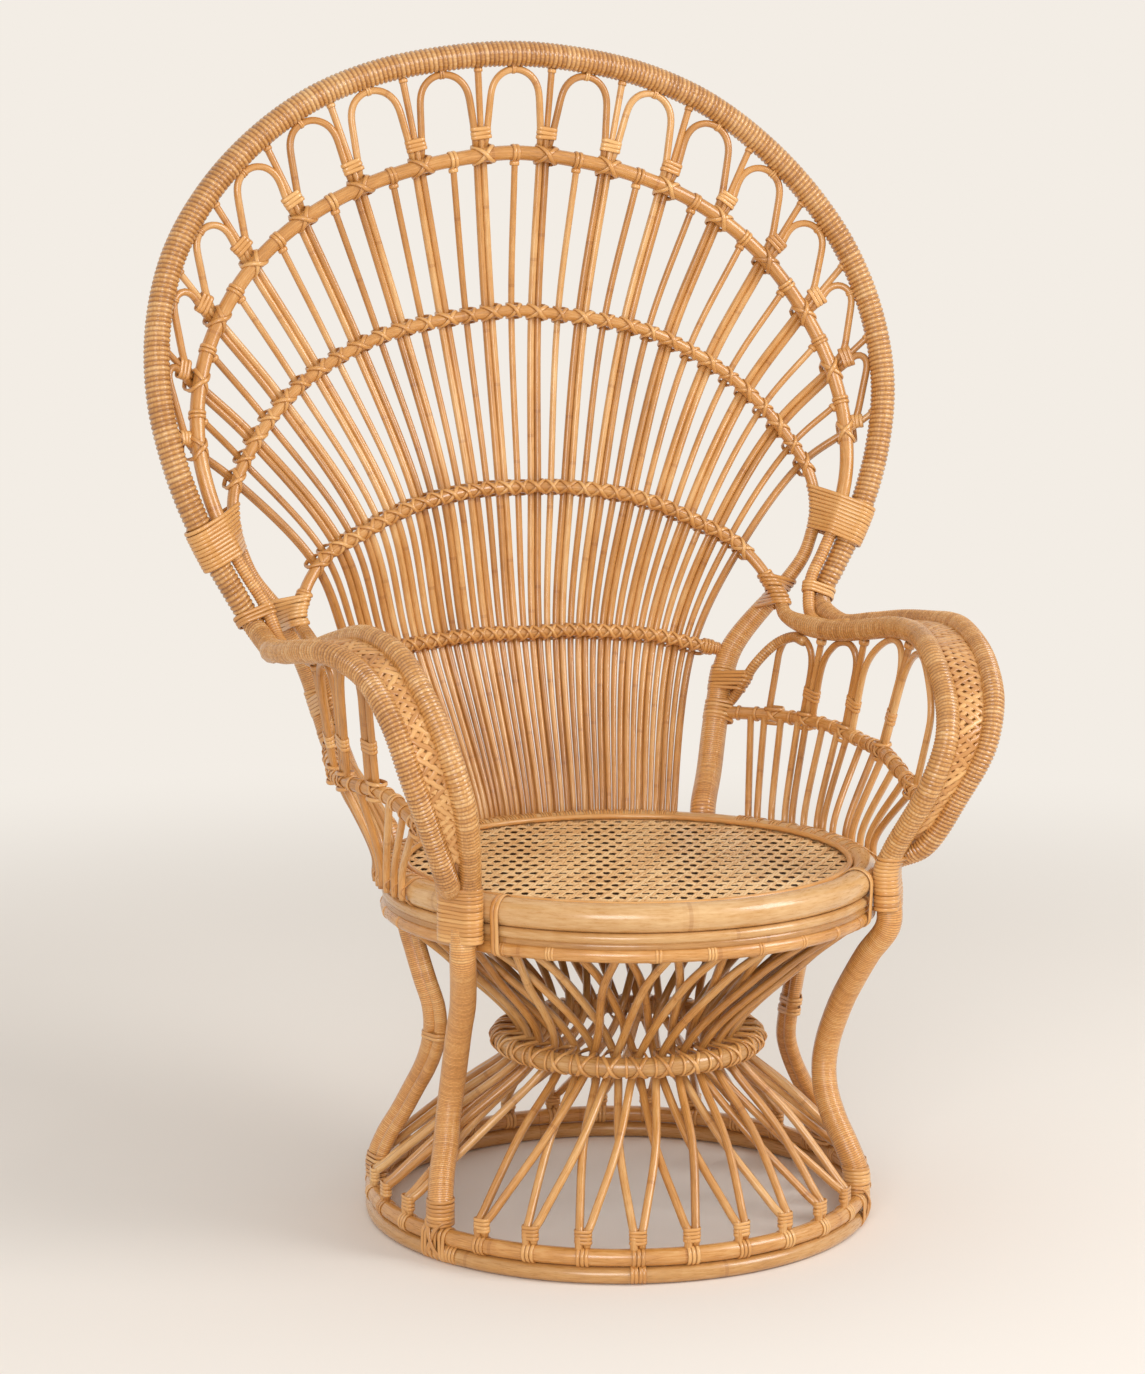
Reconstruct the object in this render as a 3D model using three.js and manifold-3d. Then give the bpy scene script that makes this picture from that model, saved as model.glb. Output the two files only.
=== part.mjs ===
// Peacock chair: a rattan armchair with a tall round fan back, two looped arms,
// a round cane-webbed seat and an hourglass stand of crossed canes.
// Millimetres, +Z up, the sitter faces -Y, and the origin is the middle of the chair on the floor.

import * as THREE from 'three';
import { mergeVertices } from 'three/addons/utils/BufferGeometryUtils.js';
import Module from 'manifold-3d';

const wasm = await Module();
wasm.setup();

// Running clearances: between canes that lie side by side, where canes cross at a slant,
// and between the hoop and the petals under it
const gap = 0.3;
const slantGap = 3 * gap;
const archGap = 5 * gap;

// Heights and reaches of the whole chair
const seatHeight = 450; // top of the seat rim above the floor
const crownHeight = 1420; // centre line of the hoop at its crown
const hoopHalfWidth = 493; // centre line of the hoop at its widest
const backDepth = 400; // how far behind the middle the back stands
const armHeight = 720; // top run of the arm rails
const armHalfWidth = 406; // centre line of the outer arm rail at its widest
const armReach = 257; // how far before the middle the arms swing

// Radii of the poles and canes
const hoopRadius = 16.5;
const crestRadius = 9.5;
const arcRadius = 7.5;
const spokeRadius = 3.8;
const finialRadius = 3.6;
const railRadius = 14;
const postRadius = 13;
const legRadius = 15.5;
const rearLegRadius = 10.5;
const midRailRadius = 8.5;
const braceRadius = 6.5;
const spindleRadius = 4.5;
const armPetalRadius = 4;
const latticeRadius = 4.5;
const infillThickness = 5;

// Seat: a thick rim cane, three thin apron hoops, the webbing and the bead over its edge
const rimRingRadius = 285;
const rimRadius = 17;
const apronRadii = [5.5, 4.5, 7.5]; // the three hoops stacked under the rim, from the top
const apronInset = 2; // how far the aprons stand inside the rim's outer edge
const webbingThickness = 2.4;
const webbingDrop = 8; // top of the webbing below the top of the rim
const webbingHoleLength = 28;
const webbingHoleWidth = 12;
const webbingPitchX = 60;
const webbingPitchY = 30;
const webbingBorder = 12; // whole band left round the holes
const beadRadius = 3.6;
const seatSetback = -15; // middle of the seat, along Y

// Stand: two stacked hoops on the floor, a waist ring and crossed canes between
const baseRingRadius = 302;
const baseRadius = 11.8;
const baseSetback = 20; // middle of the base, along Y
const waistHeight = 225;
const waistRingRadius = 155;
const waistRadius = 11.5;
const latticePairs = 30; // places for crossed pairs, two of which the front legs take
const legPairs = [10, 20];
const collarHeight = 24; // height of the collars that bind each pair above the base hoop
const baseTurn = THREE.MathUtils.degToRad(4); // the base stands turned under the seat
const lowerTwist = THREE.MathUtils.degToRad(12);
const upperTwist = THREE.MathUtils.degToRad(18);

// Fan: spacing of the double spokes, as a share of half the length of each row, and round the rim
const hoopPitchShare = 0.0982;
const crestPitchShare = 0.0942;
const upperPitchShare = 0.0966;
const middlePitchShare = 0.1069;
const lowerPitchShare = 0.1195;
const rimPitchShare = 0.0767; // of the rim's outer radius
const petalsPerSide = 7;
const petalArchRadius = 29;
const crestCollarHeight = 28; // middle of the collar over the crest arc

// Arms
const spindleCount = 11;
const spindleFirstAngle = THREE.MathUtils.degToRad(52);
const spindleLastAngle = THREE.MathUtils.degToRad(108);

// Places round the seat, as angles from the back
const rearPostAngle = THREE.MathUtils.degToRad(41);
const frontLegAngle = THREE.MathUtils.degToRad(123);

// Facets
const ringSegments = 30;
const ringSides = 8;
const thinSides = 6;
const poleSides = 8;
const caneSides = 5;
const fineSides = 4;

// Colours of the rattan
const poleColour = 0xd9a663;
const caneColour = 0xcf9a58;
const webbingColour = 0xdfbb86;

const rimHeight = seatHeight - rimRadius;
const lashingTop = seatHeight - 2 * rimRadius; // foot of the arm rails, where the legs begin
const rimOuterRadius = rimRingRadius + rimRadius;
const lastApron = apronRadii.length - 1;
const lastApronRadius = apronRadii[lastApron];
const apronRing = rimOuterRadius - apronInset - lastApronRadius;
const flatShare = Math.cos(Math.PI / thinSides); // height of a thin hoop's flat, as a share of its radius
const baseRise = baseRadius * flatShare;
const baseUpperHeight = 3 * baseRise + gap;
const facetReach = Math.cos(Math.PI / ringSegments); // nearest part of a hoop's facet, as a share

// Centre lines on the right side, as shares of the half width, depth and height that each follows
const hoopShares = [
  [0, 1.007, 1], [0.187, 1.013, 0.995], [0.372, 1.031, 0.982], [0.546, 1.034, 0.958], [0.702, 1.02, 0.921],
  [0.833, 0.99, 0.875], [0.932, 0.944, 0.822], [0.988, 0.883, 0.762], [1, 0.822, 0.699],
  [0.967, 0.777, 0.636], [0.903, 0.75, 0.576], [0.83, 0.74, 0.528], [0.786, 0.73, 0.501],
];
const crestShares = [
  [0, 1.014, 0.911], [0.16, 1.01, 0.905], [0.313, 0.999, 0.893], [0.46, 0.998, 0.874], [0.595, 0.998, 0.847],
  [0.713, 0.987, 0.811], [0.805, 0.96, 0.767], [0.867, 0.913, 0.719], [0.893, 0.854, 0.668],
  [0.88, 0.792, 0.617], [0.828, 0.749, 0.566], [0.75, 0.71, 0.519], [0.722, 0.65, 0.485],
];
const upperShares = [
  [0, 1.024, 0.768], [0.127, 1.016, 0.764], [0.247, 0.997, 0.758], [0.366, 0.987, 0.748], [0.478, 0.986, 0.731],
  [0.582, 0.97, 0.709], [0.672, 0.94, 0.681], [0.745, 0.905, 0.649], [0.798, 0.865, 0.614],
  [0.804, 0.825, 0.576], [0.766, 0.81, 0.54], [0.701, 0.815, 0.51],
];
const middleShares = [
  [0, 0.962, 0.607], [0.094, 0.948, 0.607], [0.19, 0.916, 0.604], [0.287, 0.886, 0.598], [0.381, 0.864, 0.587],
  [0.471, 0.846, 0.572], [0.559, 0.828, 0.556], [0.62, 0.79, 0.534], [0.665, 0.735, 0.505],
];
const lowerShares = [
  [0, 0.902, 0.474], [0.13, 0.9, 0.4745], [0.26, 0.893, 0.471], [0.37, 0.883, 0.466], [0.46, 0.873, 0.458],
  [0.536, 0.865, 0.452],
];
const postShares = [
  [0.684, 0.825, 0.502], [0.565, 0.85, 0.45], [0.507, 0.79, 0.396], [0.456, 0.7, 0.345],
];
const outerRailShares = [
  [0.94, 1.08, 0.965], [0.945, 0.82, 0.955], [0.985, 0.6, 0.965], [1.02, 0.335, 0.98], [1.034, 0.066, 0.989],
  [1.027, -0.206, 1.003], [0.998, -0.475, 1.01], [0.958, -0.732, 0.986], [0.914, -0.93, 0.925],
  [0.857, -0.996, 0.838], [0.793, -0.946, 0.75], [0.729, -0.848, 0.665],
];
const innerRailShares = [
  [0.79, 0.9, 0.958], [0.828, 0.634, 0.951], [0.892, 0.381, 0.965], [0.921, 0.117, 0.986],
  [0.909, -0.148, 1.011], [0.872, -0.412, 1.031], [0.825, -0.669, 1.011], [0.788, -0.875, 0.95],
  [0.745, -1.01, 0.865], [0.7, -1.0, 0.772],
];
const midRailShares = [
  [0.616, 1.23, 0.781], [0.773, 0.988, 0.781], [0.865, 0.681, 0.776], [0.894, 0.354, 0.763], [0.847, 0.023, 0.771],
  [0.796, -0.3, 0.768], [0.768, -0.62, 0.742], [0.751, -0.79, 0.725],
];
const braceShares = [
  [0.66, 1.187, 0.805], [0.709, 1.07, 0.875], [0.765, 1.02, 0.912], [0.8, 0.934, 0.928], [0.804, 0.8, 0.9262],
];
const armBaseShares = [0.09, 0.22, 0.38, 0.6, 0.82]; // feet of the arm's petals along the mid rail
const armTopShares = [0.165, 0.255, 0.365]; // heads of the posts between them along the inner rail
const armApexShares = [0.09, 0.205, 0.31, 0.47]; // tops of the petals along the inner rail
const armCollarShare = 0.45;
const armArchShare = 0.24;
const petalArchDegrees = [180, 135, 90, 45, 0]; // points round a petal's arch
const armArchDegrees = [180, 130, 90, 50, 0];
const infillFirst = 4; // the plaited band starts at this point of the outer rail
const infillLast = 10;
const archShare = 0.3;
const crestCollarShare = 0.41;
const latticeSagShare = 0.96; // a crossed cane bows this far in, halfway between its ends
const latticeBendShare = 1.68; // how much more room sloping canes need than upright ones
const waistBendShare = 1.5; // the same where they lean on the waist hoop
const upperCrossShare = 0.67;

// Legs, from the top: share of the height, share of the base's ring, then two angles in degrees,
// from the back to each side and the turn of both sides together
const frontLegShares = [
  [1, 1.052, 123, 0], [0.9, 1.052, 123, 0], [0.8, 0.978, 120.8, 1], [0.71, 0.924, 118.2, 1.5],
  [0.63, 0.883, 115, 2], [0.55, 0.853, 112.4, 2.6], [0.47, 0.831, 110.2, 3.3], [0.39, 0.822, 109.2, 4.2],
  [0.31, 0.835, 110.6, 5.4], [0.225, 0.88, 114.3, 5.6], [0.145, 0.945, 118.2, 5.6], [0.065, 0.99, 120, 4.6],
  [0, 0.99, 120, 4.6],
];
const rearLegShares = [
  [1, 0.895, 78, -1], [0.9, 0.895, 78, -1], [0.8, 0.862, 79.8, -0.8], [0.71, 0.83, 82.2, -0.4],
  [0.63, 0.798, 83.5, 0], [0.55, 0.782, 83, 0.7], [0.47, 0.784, 80.6, 1.4], [0.39, 0.804, 77.5, 2.1],
  [0.31, 0.845, 75.8, 2.8], [0.225, 0.895, 75.8, 3.4], [0.145, 0.95, 76.5, 3.9], [0.065, 0.985, 77.5, 4.4],
  [0, 0.985, 77.5, 4.4],
];

const frame = {
  back: new THREE.Vector3(hoopHalfWidth, backDepth, crownHeight),
  arm: new THREE.Vector3(armHalfWidth, armReach, armHeight),
};

function place(shares, sizes) {
  return shares.map(([x, y, z]) => new THREE.Vector3(x * sizes.x, y * sizes.y, z * sizes.z));
}

function mirrored(points) {
  return points.map((point) => new THREE.Vector3(-point.x, point.y, point.z));
}

function bothSides(points) {
  return [...mirrored(points).reverse(), ...points.slice(1)];
}

// A point at a height and a distance from an upright line, at an angle from the back towards +X
function aroundSeat(radius, angle, height, setback = seatSetback) {
  return new THREE.Vector3(radius * Math.sin(angle), setback + radius * Math.cos(angle), height);
}

// A path that a cane is swept along, sampled at its own points, so that it bends where they lie
class CanePath extends THREE.CatmullRomCurve3 {
  getPointAt(share, target) {
    return this.getPoint(share, target);
  }

  getTangentAt(share, target) {
    const [first, second] = this.points;
    const [beforeLast, last] = this.points.slice(-2);
    if (share === 0) return second.clone().sub(first).normalize();
    if (share === 1) return last.clone().sub(beforeLast).normalize();
    return this.getTangent(share, target);
  }
}

function polygon(radius, sides) {
  const corners = [];
  for (let corner = 0; corner < sides; corner += 1) {
    const angle = (2 * Math.PI * corner) / sides;
    corners.push(new THREE.Vector2(radius * Math.cos(angle), radius * Math.sin(angle)));
  }
  return corners;
}

function cane(points, radius, sides = caneSides, stepsPerSpan = 1) {
  return new THREE.ExtrudeGeometry(new THREE.Shape(polygon(radius, sides)), {
    steps: (points.length - 1) * stepsPerSpan,
    extrudePath: new CanePath(points),
    bevelEnabled: false,
  });
}

// A hoop lying flat: a closed section with a flat on top, turned round an upright line
function hoop(ringRadius, radius, height, setback, sides) {
  const turn = Math.PI / 2 + Math.PI / sides;
  const section = polygon(radius, sides).map((corner) => {
    const turned = corner.rotateAround(new THREE.Vector2(), turn);
    return new THREE.Vector2(ringRadius + turned.x, height + turned.y);
  });
  section.push(section[0].clone());
  const geometry = new THREE.LatheGeometry(section, ringSegments);
  geometry.rotateX(Math.PI / 2);
  geometry.translate(0, setback, 0);
  return geometry;
}

function toSolid(geometry) {
  const bare = geometry.clone();
  bare.deleteAttribute('normal');
  bare.deleteAttribute('uv');
  const merged = mergeVertices(bare);
  return new wasm.Manifold(new wasm.Mesh({
    numProp: 3,
    vertProperties: new Float32Array(merged.attributes.position.array),
    triVerts: new Uint32Array(merged.index.array),
  }));
}

function toGeometry(solid) {
  const mesh = solid.getMesh();
  const geometry = new THREE.BufferGeometry();
  geometry.setAttribute('position', new THREE.BufferAttribute(mesh.vertProperties, 3));
  geometry.setIndex(new THREE.BufferAttribute(mesh.triVerts, 1));
  return geometry;
}

function fuse(geometries) {
  return toGeometry(geometries.map(toSolid).reduce((whole, piece) => whole.add(piece)));
}

function cope(geometry, cutters) {
  return toGeometry(cutters.map(toSolid).reduce((whole, cutter) => whole.subtract(cutter), toSolid(geometry)));
}

const chair = new THREE.Group();

function addPiece(name, geometry, colour = poleColour) {
  geometry.computeVertexNormals();
  const material = new THREE.MeshStandardMaterial({ color: colour, roughness: 0.45, metalness: 0 });
  const piece = new THREE.Mesh(geometry, material);
  piece.name = name;
  chair.add(piece);
}

// Each row of the fan: the centre line that the spokes cross, its radius and their spacing on it
function fanRow(points, radius, pitchShare) {
  const path = new THREE.CatmullRomCurve3(bothSides(points));
  path.arcLengthDivisions = 1000;
  return {
    radius,
    at: (post) => path.getPointAt((1 + post * pitchShare) / 2),
    along: (post) => path.getTangentAt((1 + post * pitchShare) / 2),
  };
}

const hoopPoints = place(hoopShares, frame.back);
const crestPoints = place(crestShares, frame.back);
const upperPoints = place(upperShares, frame.back);
const middlePoints = place(middleShares, frame.back);
const lowerPoints = place(lowerShares, frame.back);

const hoopRow = fanRow(hoopPoints, hoopRadius, hoopPitchShare);
const crestRow = fanRow(crestPoints, crestRadius, crestPitchShare);
const upperRow = fanRow(upperPoints, arcRadius, upperPitchShare);
const middleRow = fanRow(middlePoints, arcRadius, middlePitchShare);
const lowerRow = fanRow(lowerPoints, arcRadius, lowerPitchShare);
const arcRows = [lowerRow, middleRow, upperRow, crestRow];

// Where a spoke stands behind the seat rim: its foot, and the point where it leaves the rim's top
function spokeFeet(post, shift, radius) {
  const ring = rimOuterRadius + radius + gap;
  const angle = (post * rimPitchShare * rimOuterRadius + shift) / ring;
  return [aroundSeat(ring, angle, rimHeight - 2 * rimRadius), aroundSeat(ring, angle, seatHeight)];
}

// The point where a spoke crosses an arc, behind it and clear of it
function crossing(row, post, shift, radius, below, above) {
  const centre = row.at(post).addScaledVector(row.along(post), shift);
  const back = above.at(post).sub(below.at(post)).cross(row.along(post)).normalize();
  if (back.y < 0) back.negate();
  return centre.addScaledVector(back, row.radius + radius + slantGap);
}

const rimRow = { at: (post) => spokeFeet(post, 0, spokeRadius)[1] };

function spokeRun(post, shift, radius) {
  const rows = [rimRow, ...arcRows, hoopRow];
  const crossings = arcRows.map((row, index) => (
    crossing(row, post, shift, radius, rows[index], rows[index + 2])
  ));
  return [...spokeFeet(post, shift, radius), ...crossings];
}

// The point over the crest arc where a collar binds a finial between two petals
function collarPoint(post, shift) {
  const foot = crestRow.at(post);
  const up = hoopRow.at(post).sub(foot);
  const height = Math.min(crestCollarHeight, crestCollarShare * (up.length() - hoopRadius));
  up.normalize();
  const back = up.clone().cross(crestRow.along(post)).normalize();
  if (back.y < 0) back.negate();
  return foot
    .addScaledVector(up, height)
    .addScaledVector(back, crestRadius / 2)
    .addScaledVector(crestRow.along(post), shift);
}

// A petal: one cane that runs up with one pair, arches under the hoop and comes down with the next
function petalPoints(middle) {
  const half = spokeRadius + gap / 2;
  const spread = finialRadius + spokeRadius + gap;
  const crown = hoopRow.at(middle);
  const along = hoopRow.along(middle);
  const up = crown.clone().sub(crestRow.at(middle));
  const room = up.clone().addScaledVector(along, -up.dot(along)).length();
  const arch = Math.min(petalArchRadius, archShare * room);
  const slant = room / up.length();
  up.normalize();
  const centre = crown.addScaledVector(up, -(hoopRadius + spokeRadius + archGap + arch) / slant);
  const across = along.addScaledVector(up, -along.dot(up)).normalize();
  const archPoint = (degrees) => {
    const angle = THREE.MathUtils.degToRad(degrees);
    return centre.clone()
      .addScaledVector(up, arch * Math.sin(angle))
      .addScaledVector(across, arch * Math.cos(angle));
  };
  return [
    ...spokeRun(middle - 0.5, half, spokeRadius),
    collarPoint(middle - 0.5, spread),
    ...petalArchDegrees.map(archPoint),
    collarPoint(middle + 0.5, -spread),
    ...spokeRun(middle + 0.5, -half, spokeRadius).reverse(),
  ];
}

function buildBack() {
  const petalCount = 2 * petalsPerSide + 1;
  const finials = [];
  for (let post = -petalCount / 2; post <= petalCount / 2; post += 1) {
    finials.push(cane([collarPoint(post, 0), hoopRow.at(post)], finialRadius, fineSides));
  }
  addPiece('back_hoop', fuse([cane(bothSides(hoopPoints), hoopRadius, thinSides, 2), ...finials]));

  const singles = [];
  for (let post = -petalsPerSide; post <= petalsPerSide; post += 1) {
    const run = spokeRun(post, 0, spokeRadius);
    run[run.length - 1] = crestRow.at(post);
    singles.push(cane(run, spokeRadius, fineSides));
  }
  addPiece('crest_arc', fuse([cane(bothSides(crestPoints), crestRadius, thinSides), ...singles]), caneColour);
  addPiece('upper_arc', cane(bothSides(upperPoints), arcRadius, thinSides), caneColour);
  addPiece('middle_arc', cane(bothSides(middlePoints), arcRadius, thinSides), caneColour);
  addPiece('lower_arc', cane(bothSides(lowerPoints), arcRadius, thinSides), caneColour);

  for (let index = 0; index < petalCount; index += 1) {
    const name = `petal_cane_${String(index + 1).padStart(2, '0')}`;
    addPiece(name, cane(petalPoints(index - petalsPerSide), spokeRadius, fineSides), caneColour);
  }
}

function buildSeat() {
  const rimCorner = rimRadius / Math.cos(Math.PI / ringSides);
  addPiece('seat_rim', hoop(rimRingRadius, rimCorner, rimHeight, seatSetback, ringSides));
  addPiece('seat_webbing', webbing(), webbingColour);
  const webbingTop = seatHeight - webbingDrop;
  const beadHeight = webbingTop + gap + beadRadius * flatShare;
  const beadReach = Math.SQRT2 * (rimRadius + beadRadius + gap);
  const beadRing = rimRingRadius - beadReach + beadHeight - rimHeight;
  addPiece('webbing_bead', hoop(beadRing, beadRadius, beadHeight, seatSetback, thinSides), webbingColour);
  const names = ['apron_hoop_upper', 'apron_hoop_middle'];
  names.forEach((name, index) => {
    addPiece(name, hoop(apronRing, apronRadii[index], apronHeight(index), seatSetback, thinSides), caneColour);
  });
}

// Middle of one of the hoops stacked under the rim, flat on flat
function apronHeight(index) {
  const above = apronRadii.slice(0, index).reduce((depth, radius) => depth + 2 * radius * flatShare + gap, gap);
  return rimHeight - rimRadius - above - apronRadii[index] * flatShare;
}

function webbing() {
  const top = seatHeight - webbingDrop;
  const radius = rimRingRadius - rimRadius - gap;
  const corners = polygon(radius, ringSegments);
  const middle = new THREE.Vector2();
  const outline = new THREE.Shape(corners.map((corner) => corner.rotateAround(middle, Math.PI / 2)));
  const rows = Math.floor(radius / webbingPitchY);
  for (let row = -rows; row <= rows; row += 1) {
    const stagger = row % 2 === 0 ? 0 : 0.5;
    const columns = Math.ceil(radius / webbingPitchX);
    for (let column = -columns; column <= columns; column += 1) {
      const x = (column + stagger) * webbingPitchX;
      const y = row * webbingPitchY;
      const reach = Math.hypot(Math.abs(x) + webbingHoleLength / 2, Math.abs(y) + webbingHoleWidth / 2);
      if (reach < radius - webbingBorder) {
        outline.holes.push(new THREE.Path([
          new THREE.Vector2(x - webbingHoleLength / 2, y),
          new THREE.Vector2(x, y + webbingHoleWidth / 2),
          new THREE.Vector2(x + webbingHoleLength / 2, y),
          new THREE.Vector2(x, y - webbingHoleWidth / 2),
        ]));
      }
    }
  }
  const geometry = new THREE.ExtrudeGeometry(outline, { depth: webbingThickness, bevelEnabled: false });
  geometry.translate(0, seatSetback, top - webbingThickness);
  return geometry;
}

// A crossed cane of the stand. Side -1 leans to -X as it rises at the front and lies outside,
// side 1 leans the other way inside it. It is bound beside its pair at both ends.
function latticePoints(pair, side) {
  const half = latticeRadius + gap / 2;
  const layer = latticeBendShare * half;
  const waistRing = waistRingRadius - waistBendShare * (waistRadius + latticeRadius + gap) - layer;
  const topRing = (apronRing - lastApronRadius) * facetReach - latticeRadius - gap;
  const topHeight = apronHeight(lastApron);
  const start = (pair * 2 * Math.PI) / latticePairs + baseTurn;
  const waist = start + side * lowerTwist;
  const end = waist + side * upperTwist;
  const collarTop = baseUpperHeight + baseRadius + collarHeight;
  const bottomAngle = start + (side * half) / baseRingRadius;
  const endAngle = end - (side * half) / topRing;
  const { lerp } = THREE.MathUtils;
  const inner = side > 0;
  const bottomHeight = inner ? baseUpperHeight : baseUpperHeight + baseRise + gap;
  const lowerRing = lerp(baseRingRadius, waistRing, 0.5) * latticeSagShare - side * layer;
  const lowerHeight = lerp(collarTop, waistHeight, 0.5);
  const upperRing = lerp(waistRing, topRing, upperCrossShare) * latticeSagShare - side * layer;
  const upperHeight = lerp(waistHeight, topHeight, upperCrossShare);
  return [
    aroundSeat(baseRingRadius, bottomAngle, bottomHeight, baseSetback),
    aroundSeat(baseRingRadius, bottomAngle, collarTop, baseSetback),
    aroundSeat(lowerRing, lerp(start, waist, 0.5), lowerHeight, lerp(baseSetback, seatSetback, 0.5)),
    aroundSeat(waistRing - side * layer, waist, waistHeight),
    aroundSeat(upperRing, lerp(waist, end, upperCrossShare), upperHeight),
    aroundSeat(inner ? topRing : apronRing, endAngle, topHeight),
  ];
}

function latticeCanes(side) {
  const canes = [];
  for (let pair = 0; pair < latticePairs; pair += 1) {
    if (!legPairs.includes(pair)) {
      canes.push(cane(latticePoints(pair, side), latticeRadius, fineSides));
    }
  }
  return canes;
}

function buildStand() {
  const lower = hoop(baseRingRadius, baseRadius, baseRise, baseSetback, thinSides);
  addPiece('base_hoop_lower', lower);
  const upper = hoop(baseRingRadius, baseRadius, baseUpperHeight, baseSetback, thinSides);
  addPiece('base_hoop_upper', fuse([upper, ...latticeCanes(1)]), caneColour);
  addPiece('waist_hoop', hoop(waistRingRadius, waistRadius, waistHeight, seatSetback, thinSides));
  const apron = hoop(apronRing, lastApronRadius, apronHeight(lastApron), seatSetback, thinSides);
  addPiece('apron_hoop_lower', fuse([apron, ...latticeCanes(-1)]), caneColour);
}

// A leg bows in between the seat's rim and the upper base hoop, and is upright at both ends
function legPoints(shares, side) {
  const foot = baseUpperHeight + baseRise + gap;
  const { clamp, degToRad, inverseLerp, lerp } = THREE.MathUtils;
  const [uprightTop] = shares[1];
  const [uprightFoot] = shares[shares.length - 2];
  return shares.map(([heightShare, ringShare, degrees, turn]) => {
    const angle = degToRad(side * degrees + turn);
    const rise = clamp(inverseLerp(uprightFoot, uprightTop, heightShare), 0, 1);
    const setback = lerp(baseSetback, seatSetback, rise);
    const height = lerp(foot, lashingTop - gap, heightShare);
    return aroundSeat(ringShare * baseRingRadius, angle, height, setback);
  });
}

function railFoot(angle, height) {
  return aroundSeat(rimOuterRadius + railRadius + gap, angle, height);
}

function outerRailPoints() {
  const feet = [railFoot(frontLegAngle, seatHeight), railFoot(frontLegAngle, lashingTop)];
  return [...place(outerRailShares, frame.arm), ...feet];
}

function innerRailPoints() {
  const turn = (2 * railRadius + gap) / (rimOuterRadius + railRadius);
  const angle = frontLegAngle + turn;
  const feet = [railFoot(angle, seatHeight), railFoot(angle, lashingTop)];
  return [...place(innerRailShares, frame.arm), ...feet];
}

function rearPostPoints() {
  const ring = rimOuterRadius + postRadius + slantGap;
  const feet = [seatHeight, lashingTop - postRadius].map((height) => aroundSeat(ring, rearPostAngle, height));
  return [...place(postShares, frame.back), ...feet];
}

// The point at a clearance from a rail's centre line, on the side of another point
function underRail(point, rail, clearance) {
  const away = point.clone().sub(rail).normalize();
  return rail.clone().addScaledVector(away, clearance);
}

// The posts that stand between the arm's petals, from the mid rail to the inner rail
function armPosts(bases, innerRail) {
  return armTopShares.map((share, index) => {
    const base = bases[index + 1];
    return [base, underRail(base, innerRail.getPointAt(share), railRadius + gap)];
  });
}

// A petal of the arm: up beside one post, over in an arch and down beside the next
function armPetal(left, right, rail) {
  const foot = left.clone().add(right).multiplyScalar(0.5);
  const apex = underRail(foot, rail, railRadius + armPetalRadius + gap);
  const up = apex.clone().sub(foot);
  const across = right.clone().sub(left).normalize();
  const arch = armArchShare * left.distanceTo(right) + armPetalRadius;
  const spread = 2 * armPetalRadius + gap;
  const leg = (base, side) => base.clone().addScaledVector(across, side * spread);
  const collar = (base, side) => leg(base, side).addScaledVector(up, armCollarShare);
  const rise = up.clone().normalize();
  const archPoint = (degrees) => {
    const angle = THREE.MathUtils.degToRad(degrees);
    return apex.clone()
      .addScaledVector(rise, arch * (Math.sin(angle) - 1))
      .addScaledVector(across, arch * Math.cos(angle));
  };
  return [leg(left, 1), collar(left, 1), ...armArchDegrees.map(archPoint), collar(right, -1), leg(right, -1)];
}

// The upright canes between the seat's rim and the mid rail
function armSpindles(midRail) {
  const ring = rimOuterRadius + spindleRadius + gap;
  const spindles = [];
  for (let index = 0; index < spindleCount; index += 1) {
    const share = (index + 0.5) / spindleCount;
    const angle = THREE.MathUtils.lerp(spindleFirstAngle, spindleLastAngle, share);
    const feet = [seatHeight, rimHeight].map((height) => aroundSeat(ring, angle, height));
    spindles.push([midRail.getPointAt(share), ...feet]);
  }
  return spindles;
}

function armPanel(sided) {
  const midRail = new THREE.CatmullRomCurve3(place(midRailShares, frame.arm));
  const innerRail = new THREE.CatmullRomCurve3(innerRailPoints());
  const bases = armBaseShares.map((share) => midRail.getPointAt(share));
  const petals = armApexShares.map((share, index) => (
    armPetal(bases[index], bases[index + 1], innerRail.getPointAt(share))
  ));
  const pieces = [
    cane(sided(place(midRailShares, frame.arm)), midRailRadius, thinSides),
    ...armPosts(bases, innerRail).map((points) => cane(sided(points), armPetalRadius, fineSides)),
    ...petals.map((points) => cane(sided(points), armPetalRadius, fineSides)),
    ...armSpindles(midRail).map((points) => cane(sided(points), spindleRadius, fineSides)),
  ];
  const cutters = [
    cane(sided(rearPostPoints()), postRadius + gap, poleSides, 2),
    cane(sided(outerRailPoints()), railRadius + gap, poleSides),
    cane(sided(innerRailPoints()), railRadius + gap, poleSides),
  ];
  return cope(fuse(pieces), cutters);
}

// The plaited band between the two rails of an arm: a flat strip with its edges beside the rails.
// The inner rail has one point fewer before the arm, so its points pair with the outer rail's next.
function infillBand(side) {
  const outerPoints = outerRailPoints();
  const innerPoints = innerRailPoints();
  const rings = [];
  for (let index = infillFirst; index <= infillLast; index += 1) {
    const outer = outerPoints[index];
    const inner = innerPoints[index - 1];
    const across = inner.clone().sub(outer).normalize();
    const along = outerPoints[index + 1].clone().sub(outerPoints[index - 1]).normalize();
    const thick = along.clone().cross(across).normalize().multiplyScalar(infillThickness / 2);
    const reach = (railRadius + 2 * gap) / Math.sqrt(1 - across.dot(along) ** 2);
    const outerEdge = outer.clone().addScaledVector(across, reach);
    const innerEdge = inner.clone().addScaledVector(across, -reach);
    const outerCorners = [outerEdge.clone().add(thick), outerEdge.clone().sub(thick)];
    const innerCorners = [innerEdge.clone().sub(thick), innerEdge.clone().add(thick)];
    const ring = [...outerCorners, ...innerCorners];
    rings.push(ring.map((corner) => new THREE.Vector3(side * corner.x, corner.y, corner.z)));
  }
  return loft(rings, side < 0);
}

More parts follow.
